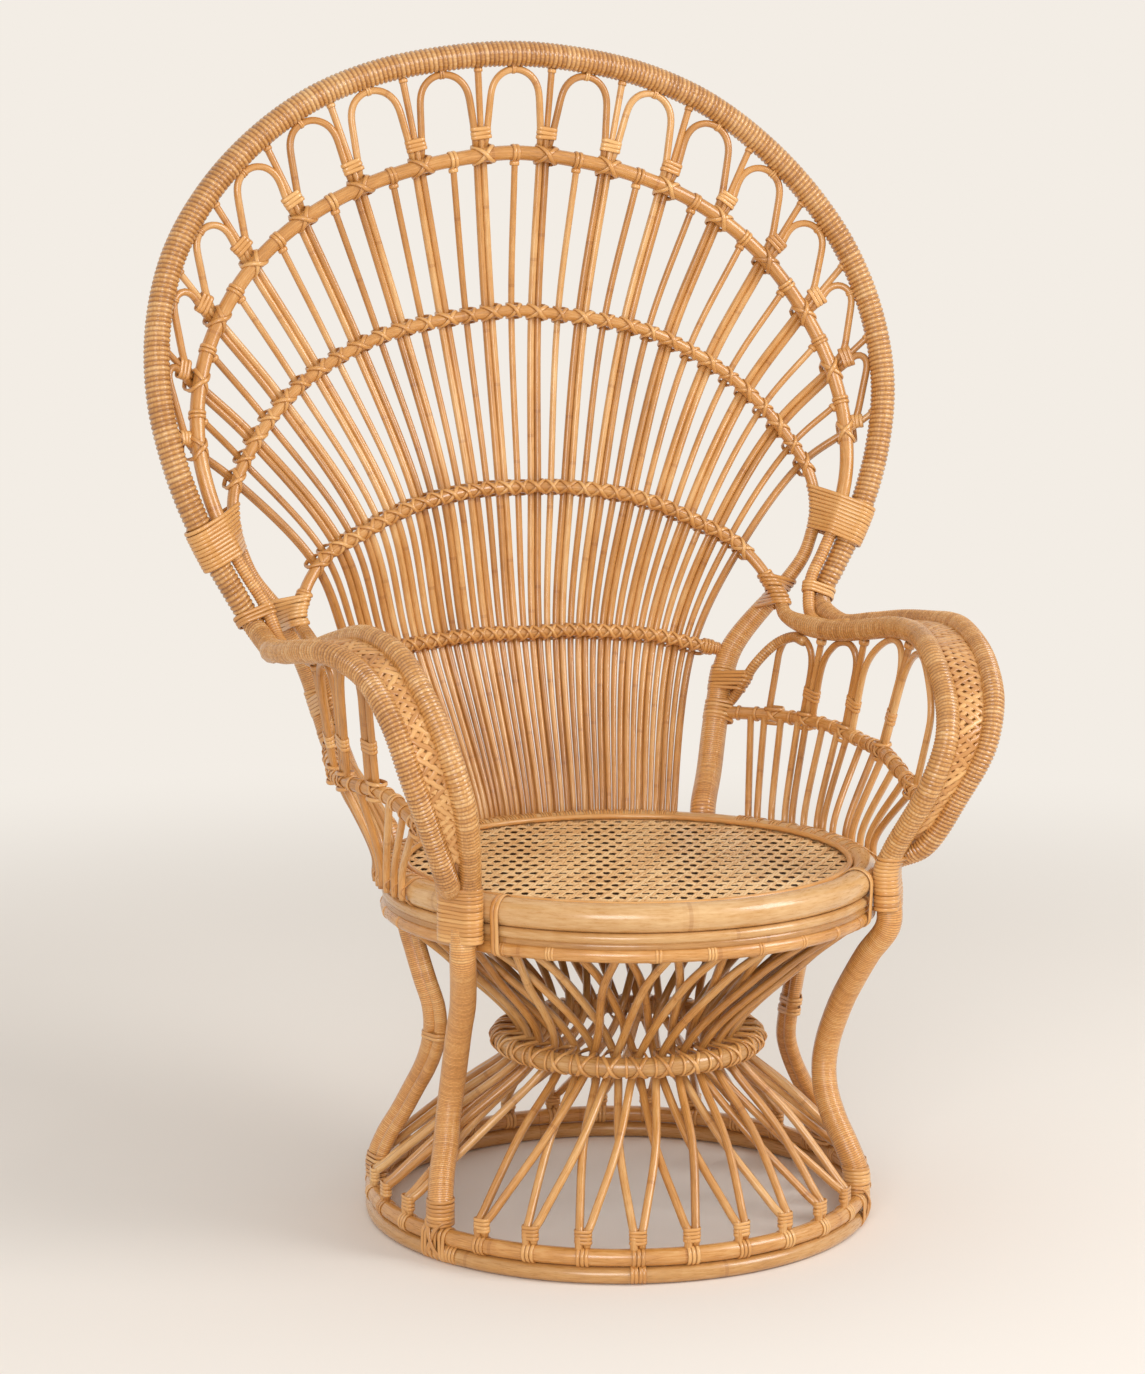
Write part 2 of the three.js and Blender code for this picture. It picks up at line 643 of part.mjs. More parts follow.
// A closed solid through rings of four corners each, turned inside out where it is mirrored
function loft(rings, flip) {
  const positions = rings.flat().flatMap((corner) => corner.toArray());
  const index = [];
  const face = (a, b, c, d) => index.push(...(flip ? [a, c, b, a, d, c] : [a, b, c, a, c, d]));
  for (let ring = 0; ring < rings.length - 1; ring += 1) {
    for (let corner = 0; corner < 4; corner += 1) {
      const next = (corner + 1) % 4;
      face(4 * ring + corner, 4 * ring + next, 4 * ring + 4 + next, 4 * ring + 4 + corner);
    }
  }
  const last = 4 * (rings.length - 1);
  face(3, 2, 1, 0);
  face(last, last + 1, last + 2, last + 3);
  const geometry = new THREE.BufferGeometry();
  geometry.setAttribute('position', new THREE.Float32BufferAttribute(positions, 3));
  geometry.setIndex(index);
  return geometry;
}

function buildArms() {
  for (const side of ['right', 'left']) {
    const sided = side === 'right' ? (points) => points : mirrored;
    const hand = side === 'right' ? 1 : -1;
    addPiece(`front_leg_${side}`, cane(legPoints(frontLegShares, hand), legRadius, poleSides));
    addPiece(`rear_leg_${side}`, cane(legPoints(rearLegShares, hand), rearLegRadius, thinSides));
    addPiece(`outer_arm_rail_${side}`, cane(sided(outerRailPoints()), railRadius, poleSides));
    addPiece(`inner_arm_rail_${side}`, cane(sided(innerRailPoints()), railRadius, poleSides));
    addPiece(`rear_post_${side}`, cane(sided(rearPostPoints()), postRadius, poleSides, 2));
    addPiece(`arm_panel_${side}`, armPanel(sided), caneColour);
    addPiece(`arm_brace_${side}`, cane(sided(place(braceShares, frame.arm)), braceRadius, thinSides, 2), caneColour);
    addPiece(`arm_infill_${side}`, infillBand(hand), webbingColour);
  }
}

buildBack();
buildSeat();
buildStand();
buildArms();

chair.updateMatrixWorld(true);
const bounds = new THREE.Box3().setFromObject(chair);
const middle = bounds.getCenter(new THREE.Vector3());
chair.position.set(-middle.x, -middle.y, -bounds.min.z);

export default chair;
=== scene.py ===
"""A peacock chair of rattan: a tall fan back, two looped arms, a round cane seat and an hourglass stand.

Metres, +Z up, the sitter faces -Y. Nearly all centre lines come from the shares and sizes of the solids.
Left and right are as seen from the front: right is +X.
"""
import math

import bpy
import numpy as np
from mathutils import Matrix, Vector


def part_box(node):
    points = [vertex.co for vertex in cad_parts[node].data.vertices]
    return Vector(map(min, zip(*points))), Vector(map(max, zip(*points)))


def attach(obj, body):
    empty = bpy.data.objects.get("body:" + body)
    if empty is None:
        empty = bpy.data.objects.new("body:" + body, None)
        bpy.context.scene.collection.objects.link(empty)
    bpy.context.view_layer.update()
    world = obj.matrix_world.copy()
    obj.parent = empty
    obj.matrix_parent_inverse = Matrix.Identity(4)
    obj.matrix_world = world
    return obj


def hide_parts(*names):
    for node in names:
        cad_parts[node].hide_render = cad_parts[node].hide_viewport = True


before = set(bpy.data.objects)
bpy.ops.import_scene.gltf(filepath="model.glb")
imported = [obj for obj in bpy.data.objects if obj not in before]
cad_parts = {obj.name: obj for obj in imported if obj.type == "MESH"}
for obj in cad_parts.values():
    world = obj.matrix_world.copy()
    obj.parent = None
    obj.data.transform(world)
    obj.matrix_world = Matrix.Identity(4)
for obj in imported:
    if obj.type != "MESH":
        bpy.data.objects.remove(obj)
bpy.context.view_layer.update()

MM = 0.001
SEED = 7
rng = np.random.default_rng(SEED)
HANDS = (("left", -1), ("right", 1))
UP = np.array([0.0, 0.0, 1.0])

# Sizes of the chair, in millimetres as in the solids
GAP = 0.3
SLANT_GAP = 3 * GAP
SEAT_HEIGHT = 450
CROWN_HEIGHT = 1420
HOOP_HALF_WIDTH = 493
BACK_DEPTH = 400
ARM_HEIGHT = 720
ARM_HALF_WIDTH = 406
ARM_REACH = 257
BACK_SIZES = np.array([HOOP_HALF_WIDTH, BACK_DEPTH, CROWN_HEIGHT], float)
ARM_SIZES = np.array([ARM_HALF_WIDTH, ARM_REACH, ARM_HEIGHT], float)

HOOP_RADIUS = 16.5
CREST_RADIUS = 9.5
ARC_RADIUS = 7.5
SPOKE_RADIUS = 3.8
FINIAL_RADIUS = 3.6
RAIL_RADIUS = 14
POST_RADIUS = 13
LEG_RADIUS = 15.5
REAR_LEG_RADIUS = 10.5
MID_RAIL_RADIUS = 8.5
BRACE_RADIUS = 6.5
SPINDLE_RADIUS = 4.5
ARM_PETAL_RADIUS = 4
LATTICE_RADIUS = 4.5

RIM_RING = 285
RIM_RADIUS = 17
APRON_RADII = [5.5, 4.5, 7.5]
APRON_INSET = 2
WEBBING_DROP = 8
BEAD_RADIUS = 3.6
SEAT_SETBACK = -15

BASE_RING = 302
BASE_RADIUS = 11.8
BASE_SETBACK = 20
WAIST_HEIGHT = 225
WAIST_RING = 155
WAIST_RADIUS = 11.5
LATTICE_PAIRS = 30
LEG_PAIRS = (10, 20)
BASE_TURN = math.radians(4)
LOWER_TWIST = math.radians(12)
UPPER_TWIST = math.radians(18)

RIM_HEIGHT = SEAT_HEIGHT - RIM_RADIUS
LASHING_TOP = SEAT_HEIGHT - 2 * RIM_RADIUS
RIM_OUTER = RIM_RING + RIM_RADIUS
APRON_RING = RIM_OUTER - APRON_INSET - APRON_RADII[-1]
THIN_FLAT = math.cos(math.pi / 6)
BASE_RISE = BASE_RADIUS * THIN_FLAT
BASE_UPPER_HEIGHT = 3 * BASE_RISE + GAP
RING_FACET = math.cos(math.pi / 30)

# Back: the spokes' places as shares of the arcs' lengths, and the centre lines as shares of the back's sizes
HOOP_PITCH, CREST_PITCH, UPPER_PITCH, MIDDLE_PITCH, LOWER_PITCH = 0.0982, 0.0942, 0.0966, 0.1069, 0.1195
RIM_PITCH = 0.0767
PETALS_PER_SIDE = 7
PETAL_ARCHES = ((0, 3, 4, 5, 6, 7), (33, 32, 30, 27, 22, 16))
PETAL_LEANS = ((0, 5, 6, 7), (0, 0, 4, 8))
PETAL_ROOM_SHARE = 0.46
PETAL_SPREAD = 8.2
SPOKE_SPREAD = 4.5
CREST_COLLAR_HEIGHT = 28
CREST_COLLAR_SHARE = 0.41
HOOP_SHARES = [
    (0, 1.007, 1), (0.187, 1.013, 0.995), (0.372, 1.031, 0.982), (0.546, 1.034, 0.958),
    (0.702, 1.02, 0.921), (0.833, 0.99, 0.875), (0.932, 0.944, 0.822), (0.988, 0.883, 0.762),
    (1, 0.822, 0.699), (0.967, 0.777, 0.636), (0.903, 0.75, 0.576), (0.83, 0.74, 0.528),
    (0.786, 0.73, 0.501),
]
CREST_SHARES = [
    (0, 1.014, 0.911), (0.16, 1.01, 0.905), (0.313, 0.999, 0.893), (0.46, 0.998, 0.874),
    (0.595, 0.998, 0.847), (0.713, 0.987, 0.811), (0.805, 0.96, 0.767), (0.867, 0.913, 0.719),
    (0.893, 0.854, 0.668), (0.88, 0.792, 0.617), (0.828, 0.749, 0.566), (0.75, 0.71, 0.519),
    (0.722, 0.65, 0.485),
]
UPPER_SHARES = [
    (0, 1.024, 0.768), (0.127, 1.016, 0.764), (0.247, 0.997, 0.758), (0.366, 0.987, 0.748),
    (0.478, 0.986, 0.731), (0.582, 0.97, 0.709), (0.672, 0.94, 0.681), (0.745, 0.905, 0.649),
    (0.798, 0.865, 0.614), (0.804, 0.825, 0.576), (0.766, 0.81, 0.54), (0.701, 0.815, 0.51),
]
MIDDLE_SHARES = [
    (0, 0.962, 0.607), (0.094, 0.948, 0.607), (0.19, 0.916, 0.604), (0.287, 0.886, 0.598),
    (0.381, 0.864, 0.587), (0.471, 0.846, 0.572), (0.559, 0.828, 0.556), (0.62, 0.79, 0.534),
    (0.665, 0.735, 0.505),
]
LOWER_SHARES = [
    (0, 0.902, 0.474), (0.13, 0.9, 0.4745), (0.26, 0.893, 0.471), (0.37, 0.883, 0.466),
    (0.46, 0.873, 0.458), (0.536, 0.865, 0.452),
]
POST_SHARES = [(0.684, 0.825, 0.502), (0.565, 0.85, 0.45), (0.507, 0.79, 0.396), (0.456, 0.7, 0.345)]
CREST_END = [
    (414, 302, 812), (392, 296, 772), (371, 288, 735), (360, 262, 694), (360, 218, 685),
    (369, 165, 692),
]
CREST_CUT = 800
CREST_END_RADIUS = 8.2

# Arms: centre lines as shares of the arm's sizes, and in millimetres where the photograph's two arms differ
OUTER_RAIL_SHARES = [
    (0.94, 1.08, 0.965), (0.945, 0.82, 0.955), (0.985, 0.6, 0.965), (1.02, 0.335, 0.98),
    (1.034, 0.066, 0.989), (1.027, -0.206, 1.003), (0.998, -0.475, 1.01), (0.958, -0.732, 0.986),
    (0.914, -0.93, 0.925), (0.857, -0.996, 0.838), (0.793, -0.946, 0.75), (0.729, -0.848, 0.665),
]
INNER_RAIL_SHARES = [
    (0.79, 0.9, 0.958), (0.828, 0.634, 0.951), (0.892, 0.381, 0.965), (0.921, 0.117, 0.986),
    (0.909, -0.148, 1.011), (0.872, -0.412, 1.031), (0.825, -0.669, 1.011), (0.788, -0.875, 0.95),
    (0.745, -1.01, 0.865), (0.7, -1.0, 0.772),
]
MID_RAIL_SHARES = [
    (0.616, 1.23, 0.781), (0.773, 0.988, 0.781), (0.865, 0.681, 0.776), (0.894, 0.354, 0.763),
    (0.847, 0.023, 0.771), (0.796, -0.3, 0.768), (0.768, -0.62, 0.742), (0.751, -0.79, 0.725),
]
BRACE_SHARES = [
    (0.66, 1.187, 0.805), (0.709, 1.07, 0.875), (0.765, 1.02, 0.912), (0.8, 0.934, 0.928),
    (0.804, 0.8, 0.9262),
]
OUTER_DROPS = {
    1: {
        5: (0, 0, 5), 6: (0, 0, 18), 7: (-3, 0, 24), 8: (-5, 0, 18), 9: (-10, 0, 5), 10: (-8, 0, 0),
        11: (-4, 0, 0),
    },
    -1: {6: (3, 0, 0), 7: (8, 0, 1), 8: (5, 0, 0)},
}
INNER_RAIL_START = [(324, 262, 696), (330, 215, 688)]
RIGHT_INNER_RAIL = [
    (345, 150, 687), (360, 98, 694), (370, 30, 705), (364, -38, 708), (345, -106, 708), (328, -165, 700),
    (321, -220, 658), (305, -258, 612), (286, -256, 556),
]
BRACE_FOOT = (252, 314, 562)
LEFT_MID_RAIL = [(276, 306, 562), (292, 258, 562), (318, 178, 559), (336, 93, 550)]
LEFT_BRACE = [(278, 306, 562), (284, 300, 580), (298, 275, 630)]
LEFT_POST = [(300, 338, 639), (280, 312, 562), (262, 258, 490)]
REAR_POST_ANGLE = math.radians(41)
LEFT_POST_ANGLE = math.radians(50)
RIGHT_POST_SHIFT = np.array([10, -9, 0])
FRONT_LEG_ANGLE = math.radians(123)
RAIL_FOOT_TURN = math.radians(3.4)
ARM_FEET = {1: (0.116, 0.214, 0.344, 0.589, 0.866), -1: (0.116, 0.25, 0.42, 0.55, 0.66, 0.9)}
ARM_HEADS = {1: (262, 174, 90, -42, -200), -1: (262, 170, 60, -30, -88, -200)}
ARM_COLLAR = 0.29
ARM_SPRING = 0.5
UPRIGHT_TOPS = (
    0.076, 0.107, 0.147, 0.192, 0.214, 0.263, 0.312, 0.348, 0.411, 0.522, 0.612, 0.728, 0.795, 0.85,
)
UPRIGHT_FEET = (51, 53.5, 57.5, 61.5, 63.7, 67.5, 72, 74.2, 78, 83.5, 86.5, 91, 96, 100)
PLAIT_START = (20, 34)
PLAIT_END = 486
PLAIT_ROWS = 220
PLAIT_LEAF = 13
PLAIT_PITCH = 11

# Legs as height, ring, degrees and turn, and the bends of the stand's canes
FRONT_LEG_SHARES = [
    (1, 1.052, 123, 0), (0.9, 1.052, 123, 0), (0.8, 0.978, 120.8, 1), (0.71, 0.924, 118.2, 1.5),
    (0.63, 0.883, 115, 2), (0.55, 0.853, 112.4, 2.6), (0.47, 0.831, 110.2, 3.3),
    (0.39, 0.822, 109.2, 4.2), (0.31, 0.835, 110.6, 5.4), (0.225, 0.88, 114.3, 5.6),
    (0.145, 0.945, 118.2, 5.6), (0.065, 0.99, 120, 4.6), (0, 0.99, 120, 4.6),
]
REAR_LEG_SHARES = [
    (1, 0.895, 78, -1), (0.9, 0.895, 78, -1), (0.8, 0.862, 79.8, -0.8), (0.71, 0.83, 82.2, -0.4),
    (0.63, 0.798, 83.5, 0), (0.55, 0.782, 83, 0.7), (0.47, 0.784, 80.6, 1.4), (0.39, 0.804, 77.5, 2.1),
    (0.31, 0.845, 75.8, 2.8), (0.225, 0.895, 75.8, 3.4), (0.145, 0.95, 76.5, 3.9),
    (0.065, 0.985, 77.5, 4.4), (0, 0.985, 77.5, 4.4),
]
REAR_CANE_RADIUS = REAR_LEG_RADIUS + 2
SECOND_CANE_RADIUS = 8
SECOND_CANE_SPREAD = REAR_LEG_RADIUS + SECOND_CANE_RADIUS
SECOND_CANE_INSET = 6
LATTICE_SAG = 0.96
LOWER_SAG = 0.975
NECK_HEIGHT = 58
NECK_SHARE = 0.14
LATTICE_BEND = 1.68
WAIST_BEND = 1.5
UPPER_CROSS = 0.67
EASING = 26
SPLICES = (math.radians(196), math.radians(240))

# Wraps and spokes, a little thinner or thicker than the solids. The hoop is drawn a little smaller, so that
# its wrap stays inside the solids' box.
HOOP_INSIDE = np.array([0.9955, 0.9974, 0.9995])
HOOP_END = 722
WRAP_PITCHES = (4.6, 6.2, 4.6)
SINGLE_SPOKE_RADII = (3.2, 4.4)
PETAL_CANE_RADII = (3.4, 4.8)
SPOKE_SWELL = 250
THIRD_CANE_RADIUS = 2.6
THIRD_CANE_SETBACK = 3.4
WOUND_FROM = {"rear_post": 800, "inner_arm_rail": 726}
WIDE_BINDING_HEIGHT = 808
SHEATH_BINDING_HEIGHT = 728
BRACE_BINDING_HEIGHT = 602
MID_RAIL_BINDING_HEIGHT = 563
LASHING_HEIGHTS = np.linspace(401, 462, 14)

# Seat weave
WEAVE_COLUMN, WEAVE_LINE = 17.5, 23.2
WEAVE_STEP = 5.25
WEAVE_WAVE = 21
WEAVE_THICKNESS = 0.8
# A dark sheet of painted shade under the weave: how far it drops and its strands' pitch
SHADE_SHEET_DROP = 7
SHADE_SHEET_PITCH = 8.4
WEAVE_ANGLE = math.radians(-19.7)
WEAVE_TURN = np.array([
    [math.cos(WEAVE_ANGLE), math.sin(WEAVE_ANGLE)],
    [-math.sin(WEAVE_ANGLE), math.cos(WEAVE_ANGLE)],
])

# Strands: their section and its painted shade, a direction that no strand's axis takes, and how loosely they
# lie
STRIP_SECTION = ((-1, -1), (1, -1), (1, 0.3), (0.45, 1), (-0.45, 1), (-1, 0.3))
# Painted shade on each strand's back and sides
STRIP_EDGE_SHADE = np.array([0.3, 0.3, 0.3, 0.0, 0.0, 0.3])
CIRCLE_TURNS = np.arange(28) * 2 * np.pi / 28
CIRCLE = np.column_stack([np.cos(CIRCLE_TURNS), np.sin(CIRCLE_TURNS)])
ODD_WAY = [0.31, 0.57, 0.76]
LOOP_STEP = 2.6
COLLAR_LOOSENESS = 0.25
BINDING_LOOSENESS = 0.3
SHADE_CHANGE = 0.12
CROSS_POINTS = 11
BACK_POINTS = 7
CROSS_HUMP = 0.3
END_TAPER = 0.8
SECTION_TOLERANCE = 4
FLOOR_CLEARANCE = 0.1

# Colours that darken the cane, as linear light: stains at its nodes and worn specks, and painted shade in
# grooves
HALO_STAIN = (0.72, 0.55, 0.36)
NODE_STAIN = (0.5, 0.3, 0.15)
# Painted shade for the grooves between wound strands and the backs and sides of strands
GROOVE_SHADE = (0.34, 0.17, 0.07)
SPECK_STAIN = (0.6, 0.42, 0.24)

# The solids stand moved along Y, so that the middle of their box is over the origin
rim_low, rim_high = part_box("seat_rim")
SHIFT = np.array([0.0, (rim_low[1] + rim_high[1]) / 2 - SEAT_SETBACK * MM, 0.0])


# Vectors and curves
def unit(vectors):
    """Vectors scaled to a length of one."""
    vectors = np.asarray(vectors, float)
    return vectors / np.maximum(np.linalg.norm(vectors, axis=-1, keepdims=True), 1e-12)


def ramped(values, start, run):
    """0 up to a start, then growing to 1 over a run."""
    return np.clip((values - start) / run, 0, 1)


def lerp(a, b, share):
    return a + (b - a) * share


def spline(points, per_span=12, closed=False):
    """Points along a centripetal Catmull-Rom curve, as three.js draws it."""
    points = np.asarray(points, float)
    count = len(points)
    if closed:
        before, start = np.roll(points, 1, 0), points
        end, after = np.roll(points, -1, 0), np.roll(points, -2, 0)
    else:
        start, end = points[:-1], points[1:]
        before = np.vstack([2 * points[0] - points[1], points[:-2]])
        after = np.vstack([points[2:], 2 * points[-1] - points[-2]])
    steps = [np.sqrt(np.maximum(np.linalg.norm(b - a, axis=1), 1e-6))[:, None]
             for a, b in ((before, start), (start, end), (end, after))]
    first = (start - before) / steps[0] - (end - before) / (steps[0] + steps[1]) + (end - start) / steps[1]
    last = (end - start) / steps[1] - (after - start) / (steps[1] + steps[2]) + (after - end) / steps[2]
    first, last = first * steps[1], last * steps[1]
    shares = np.arange(per_span) / per_span
    out = []
    for index in range(count if closed else count - 1):
        p, q, a, b = start[index], end[index], first[index], last[index]
        for t in shares:
            out.append(p + a * t + (-3 * p + 3 * q - 2 * a - b) * t ** 2 + (2 * p - 2 * q + a + b) * t ** 3)
    if not closed:
        out.append(points[-1])
    return np.array(out)


def lengths(path):
    """Distance along a path at each of its points."""
    return np.concatenate([[0], np.cumsum(np.linalg.norm(np.diff(path, axis=0), axis=1))])


def respaced(path, step, closed=False):
    """The path at even steps."""
    if closed:
        path = np.vstack([path, path[:1]])
    along = lengths(path)
    count = max(2, int(round(along[-1] / step)) + 1)
    places = np.linspace(0, along[-1], count)
    out = np.column_stack([np.interp(places, along, path[:, axis]) for axis in range(3)])
    return out[:-1] if closed else out


def smooth(points, step=6.0):
    """Even steps along the curve through a few points."""
    return respaced(spline(points, 16), step)


def relaxed(path, passes):
    """The path with its corners rounded, its ends kept."""
    for _ in range(passes):
        path = np.vstack([path[:1], (path[:-2] + 2 * path[1:-1] + path[2:]) / 4, path[-1:]])
    return path


def frames_along(path, closed=False, first=None):
    """Tangent, side and third direction at each point, turned as little as possible on the way."""
    if closed:
        tangents = unit(np.roll(path, -1, 0) - np.roll(path, 1, 0))
    else:
        tangents = unit(np.gradient(path, axis=0))
    side = np.array(first, float) if first is not None else np.cross(tangents[0], UP)
    if np.linalg.norm(np.cross(tangents[0], UP)) < 1e-3 and first is None:
        side = np.array([1.0, 0, 0])
    sides = np.empty_like(path)
    for index, tangent in enumerate(tangents):
        side = side - tangent * (side @ tangent)
        side = side / np.linalg.norm(side)
        sides[index] = side
    return tangents, sides, np.cross(tangents, sides)


def hull_of(points):
    """The convex outline of flat points, anticlockwise."""
    ordered = sorted(map(tuple, points))

    def chain(items):
        out = []
        for x, y in items:
            while len(out) > 1 and ((out[-1][0] - out[-2][0]) * (y - out[-2][1])
                                    - (out[-1][1] - out[-2][1]) * (x - out[-2][0])) <= 0:
                out.pop()
            out.append((x, y))
        return out[:-1]

    return np.array(chain(ordered) + chain(ordered[::-1]))


def section(path, point, axis, reach=70):
    """Where a path passes through the plane at a point, near that point."""
    near = np.linalg.norm(path - point, axis=1) < reach
    if not near.any():
        return None
    candidates = path[near]
    distance = np.abs((candidates - point) @ axis)
    best = candidates[np.argmin(distance)]
    return best - axis * ((best - point) @ axis) if distance.min() < SECTION_TOLERANCE else None


def at_height(path, height):
    return path[np.argmin(np.abs(path[:, 2] - height))]


def way_at(path, point):
    """A path's direction near a point."""
    index = int(np.clip(np.argmin(np.linalg.norm(path - point, axis=1)), 2, len(path) - 3))
    return unit(path[index + 2] - path[index - 2])


# Meshes
class Builder:
    """One mesh of swept forms, with a run map (around, along) and each point's tint and painted groove shade.
    """

    def __init__(self):
        self.points, self.faces, self.runs, self.tints, self.grooves, self.total = [], [], [], [], [], 0

    def grid(self, rows, runs, tint, wrap_rows=False, groove=0.0):
        """A closed skin over rows of points, each row a ring."""
        count, sides = rows.shape[:2]
        base = self.total
        self.points.append(rows.reshape(-1, 3))
        self.tints.append(np.broadcast_to(tint, (count, sides)).reshape(-1).astype(float))
        self.grooves.append(np.broadcast_to(groove, (count, sides)).reshape(-1).astype(float))
        row_index = np.arange(count if wrap_rows else count - 1)[:, None]
        column = np.arange(sides)[None, :]
        here = base + row_index * sides + column
        right = base + row_index * sides + (column + 1) % sides
        up = base + ((row_index + 1) % count) * sides + column
        up_right = base + ((row_index + 1) % count) * sides + (column + 1) % sides
        quads = np.stack([here, right, up_right, up], -1).reshape(-1, 4)
        around = (np.arange(sides) / sides)[None, :]
        low = np.broadcast_to(runs[row_index[:, 0]][:, None], here.shape)
        step = runs[1] - runs[0]
        high = low + step if wrap_rows else np.broadcast_to(runs[row_index[:, 0] + 1][:, None], here.shape)
        left = np.broadcast_to(around, here.shape)
        beside = left + 1 / sides
        uv = np.stack([left, low, beside, low, beside, high, left, high], -1).reshape(-1, 4, 2)
        self.faces.append(quads)
        self.runs.append(uv)
        self.total += count * sides
        if not wrap_rows:
            self.cap(rows[0], base, runs[0], tint_of(tint, 0), True)
            self.cap(rows[-1], base + (count - 1) * sides, runs[-1], tint_of(tint, -1), False)

    def cap(self, ring, base, run, tint, flip):
        """Triangles from a ring to its middle, which close the skin's end."""
        centre = ring.mean(0)
        self.points.append(centre[None])
        self.tints.append(np.array([float(np.mean(tint))]))
        self.grooves.append(np.zeros(1))
        middle = self.total
        self.total += 1
        sides = len(ring)
        column = np.arange(sides)
        after = (column + 1) % sides
        triangles = np.stack([base + after, base + column, np.full(sides, middle), np.full(sides, -1)], -1)
        if not flip:
            triangles[:, [0, 1]] = triangles[:, [1, 0]]
        uv = np.zeros((sides, 4, 2))
        uv[:, :, 1] = run
        self.faces.append(triangles)
        self.runs.append(uv)

    def finish(self, name, material, slot, *replaced):
        """Makes the mesh a piece, which rides the chair's one body."""
        points = np.vstack(self.points) * MM + SHIFT
        faces = np.vstack(self.faces)
        runs = np.vstack(self.runs)
        size = np.where(faces[:, 3] < 0, 3, 4)
        keep = np.arange(4)[None, :] < size[:, None]
        mesh = bpy.data.meshes.new(name)
        mesh.vertices.add(len(points))
        mesh.vertices.foreach_set("co", points.astype(np.float32).ravel())
        corners = faces[keep]
        mesh.loops.add(len(corners))
        mesh.loops.foreach_set("vertex_index", corners.astype(np.int32))
        mesh.polygons.add(len(faces))
        mesh.polygons.foreach_set("loop_start", np.concatenate([[0], np.cumsum(size)[:-1]]).astype(np.int32))
        mesh.polygons.foreach_set("use_smooth", np.ones(len(faces), bool))
        run_map = mesh.uv_layers.new(name="Run")
        run_map.data.foreach_set("uv", runs[keep].astype(np.float32).ravel())
        for attribute, values in (("tint", self.tints), ("groove", self.grooves)):
            layer = mesh.attributes.new(attribute, "FLOAT", "POINT")
            layer.data.foreach_set("value", np.concatenate(values).astype(np.float32))
        mesh.update(calc_edges=True)
        mesh.validate()
        mesh.materials.append(material)
        piece = bpy.data.objects.new(name, mesh)
        bpy.context.scene.collection.objects.link(piece)
        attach(piece, "root")
        if replaced:
            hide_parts(*replaced)
        return piece


def tint_of(tint, row):
    return tint[row] if np.ndim(tint) else tint


def ring_rows(path, side, third, radii, sides):
    """Rings of points round a path; radii is a number, one per point, or one per point and side."""
    angles = 2 * np.pi * np.arange(sides) / sides
    radii = np.asarray(radii, float)
    if radii.ndim == 1:
        radii = radii[:, None]
    radii = np.broadcast_to(radii, (len(path), sides))
    across = np.cos(angles)[None, :, None] * side[:, None] + np.sin(angles)[None, :, None] * third[:, None]
    return path[:, None] + radii[..., None] * across


def add_cane(builder, path, radius, sides=8, closed=False, tint=None):
    """A bare round cane with softened ends."""
    path = np.asarray(path, float)
    along = lengths(path)
    _, side, third = frames_along(path, closed)
    radii = np.broadcast_to(np.asarray(radius, float), len(path)).copy()
    if not closed:
        radii[0] *= END_TAPER
        radii[-1] *= END_TAPER
    tint = rng.random() if tint is None else tint
    builder.grid(ring_rows(path, side, third, radii, sides), along * MM, tint, wrap_rows=closed)


def add_hoop(builder, ring, height, setback, radius, sides=14, step=6, tint=None):
    """A round hoop that lies level."""
    add_cane(builder, respaced(ring_path(ring, height, setback), step, True), radius, sides, True, tint)


def add_wrap(builder, path, radius, pitch, height, sides=12, per_turn=5, closed=False, groove=0.3):
    """A pole wound all along with flat cane: a helix of crowned strands with grooves between them."""
    path = respaced(path, pitch / per_turn, closed)
    along = lengths(path)
    turns = along / pitch
    if closed:
        whole = round((along[-1] + pitch / per_turn) / pitch)
        turns = np.arange(len(path)) * whole / len(path)
    _, side, third = frames_along(path, closed)
    angles = np.arange(sides) / sides
    phase = turns[:, None] - angles[None, :]
    share = phase - np.floor(phase)
    crown = np.clip(np.minimum(share, 1 - share) / groove, 0, 1)
    crown = 1 - (1 - crown) ** 2
    radius = np.asarray(radius(path) if callable(radius) else radius, float)
    radii = (radius[:, None] if radius.ndim else radius) - height * (1 - crown)
    strand = np.floor(phase).astype(int)
    shades = rng.random(strand.max() - strand.min() + 1)
    shade = shades[strand - strand.min()]
    rows = ring_rows(path, side, third, radii, sides)
    # The groove attribute carries painted shade into the grooves between the strands
    builder.grid(rows, along * MM, shade, wrap_rows=closed, groove=1 - crown)


def add_strip(builder, path, normals, width, thickness, tint=None, closed=False):
    """A flat strand of cane with its face along the normals."""
    path = np.asarray(path, float)
    if closed:
        tangents = unit(np.roll(path, -1, 0) - np.roll(path, 1, 0))
    else:
        tangents = unit(np.gradient(path, axis=0))
    normals = unit(normals - tangents * np.sum(normals * tangents, axis=1, keepdims=True))
    across = np.cross(tangents, normals)
    half, rise = width / 2, thickness / 2
    rows = np.stack([path + across * (half * x) + normals * (rise * y) for x, y in STRIP_SECTION], 1)
    tint = rng.random() if tint is None else tint
    # The strand's back and sides are darkened with painted shade
    builder.grid(rows, lengths(path) * MM, tint, wrap_rows=closed, groove=STRIP_EDGE_SHADE)


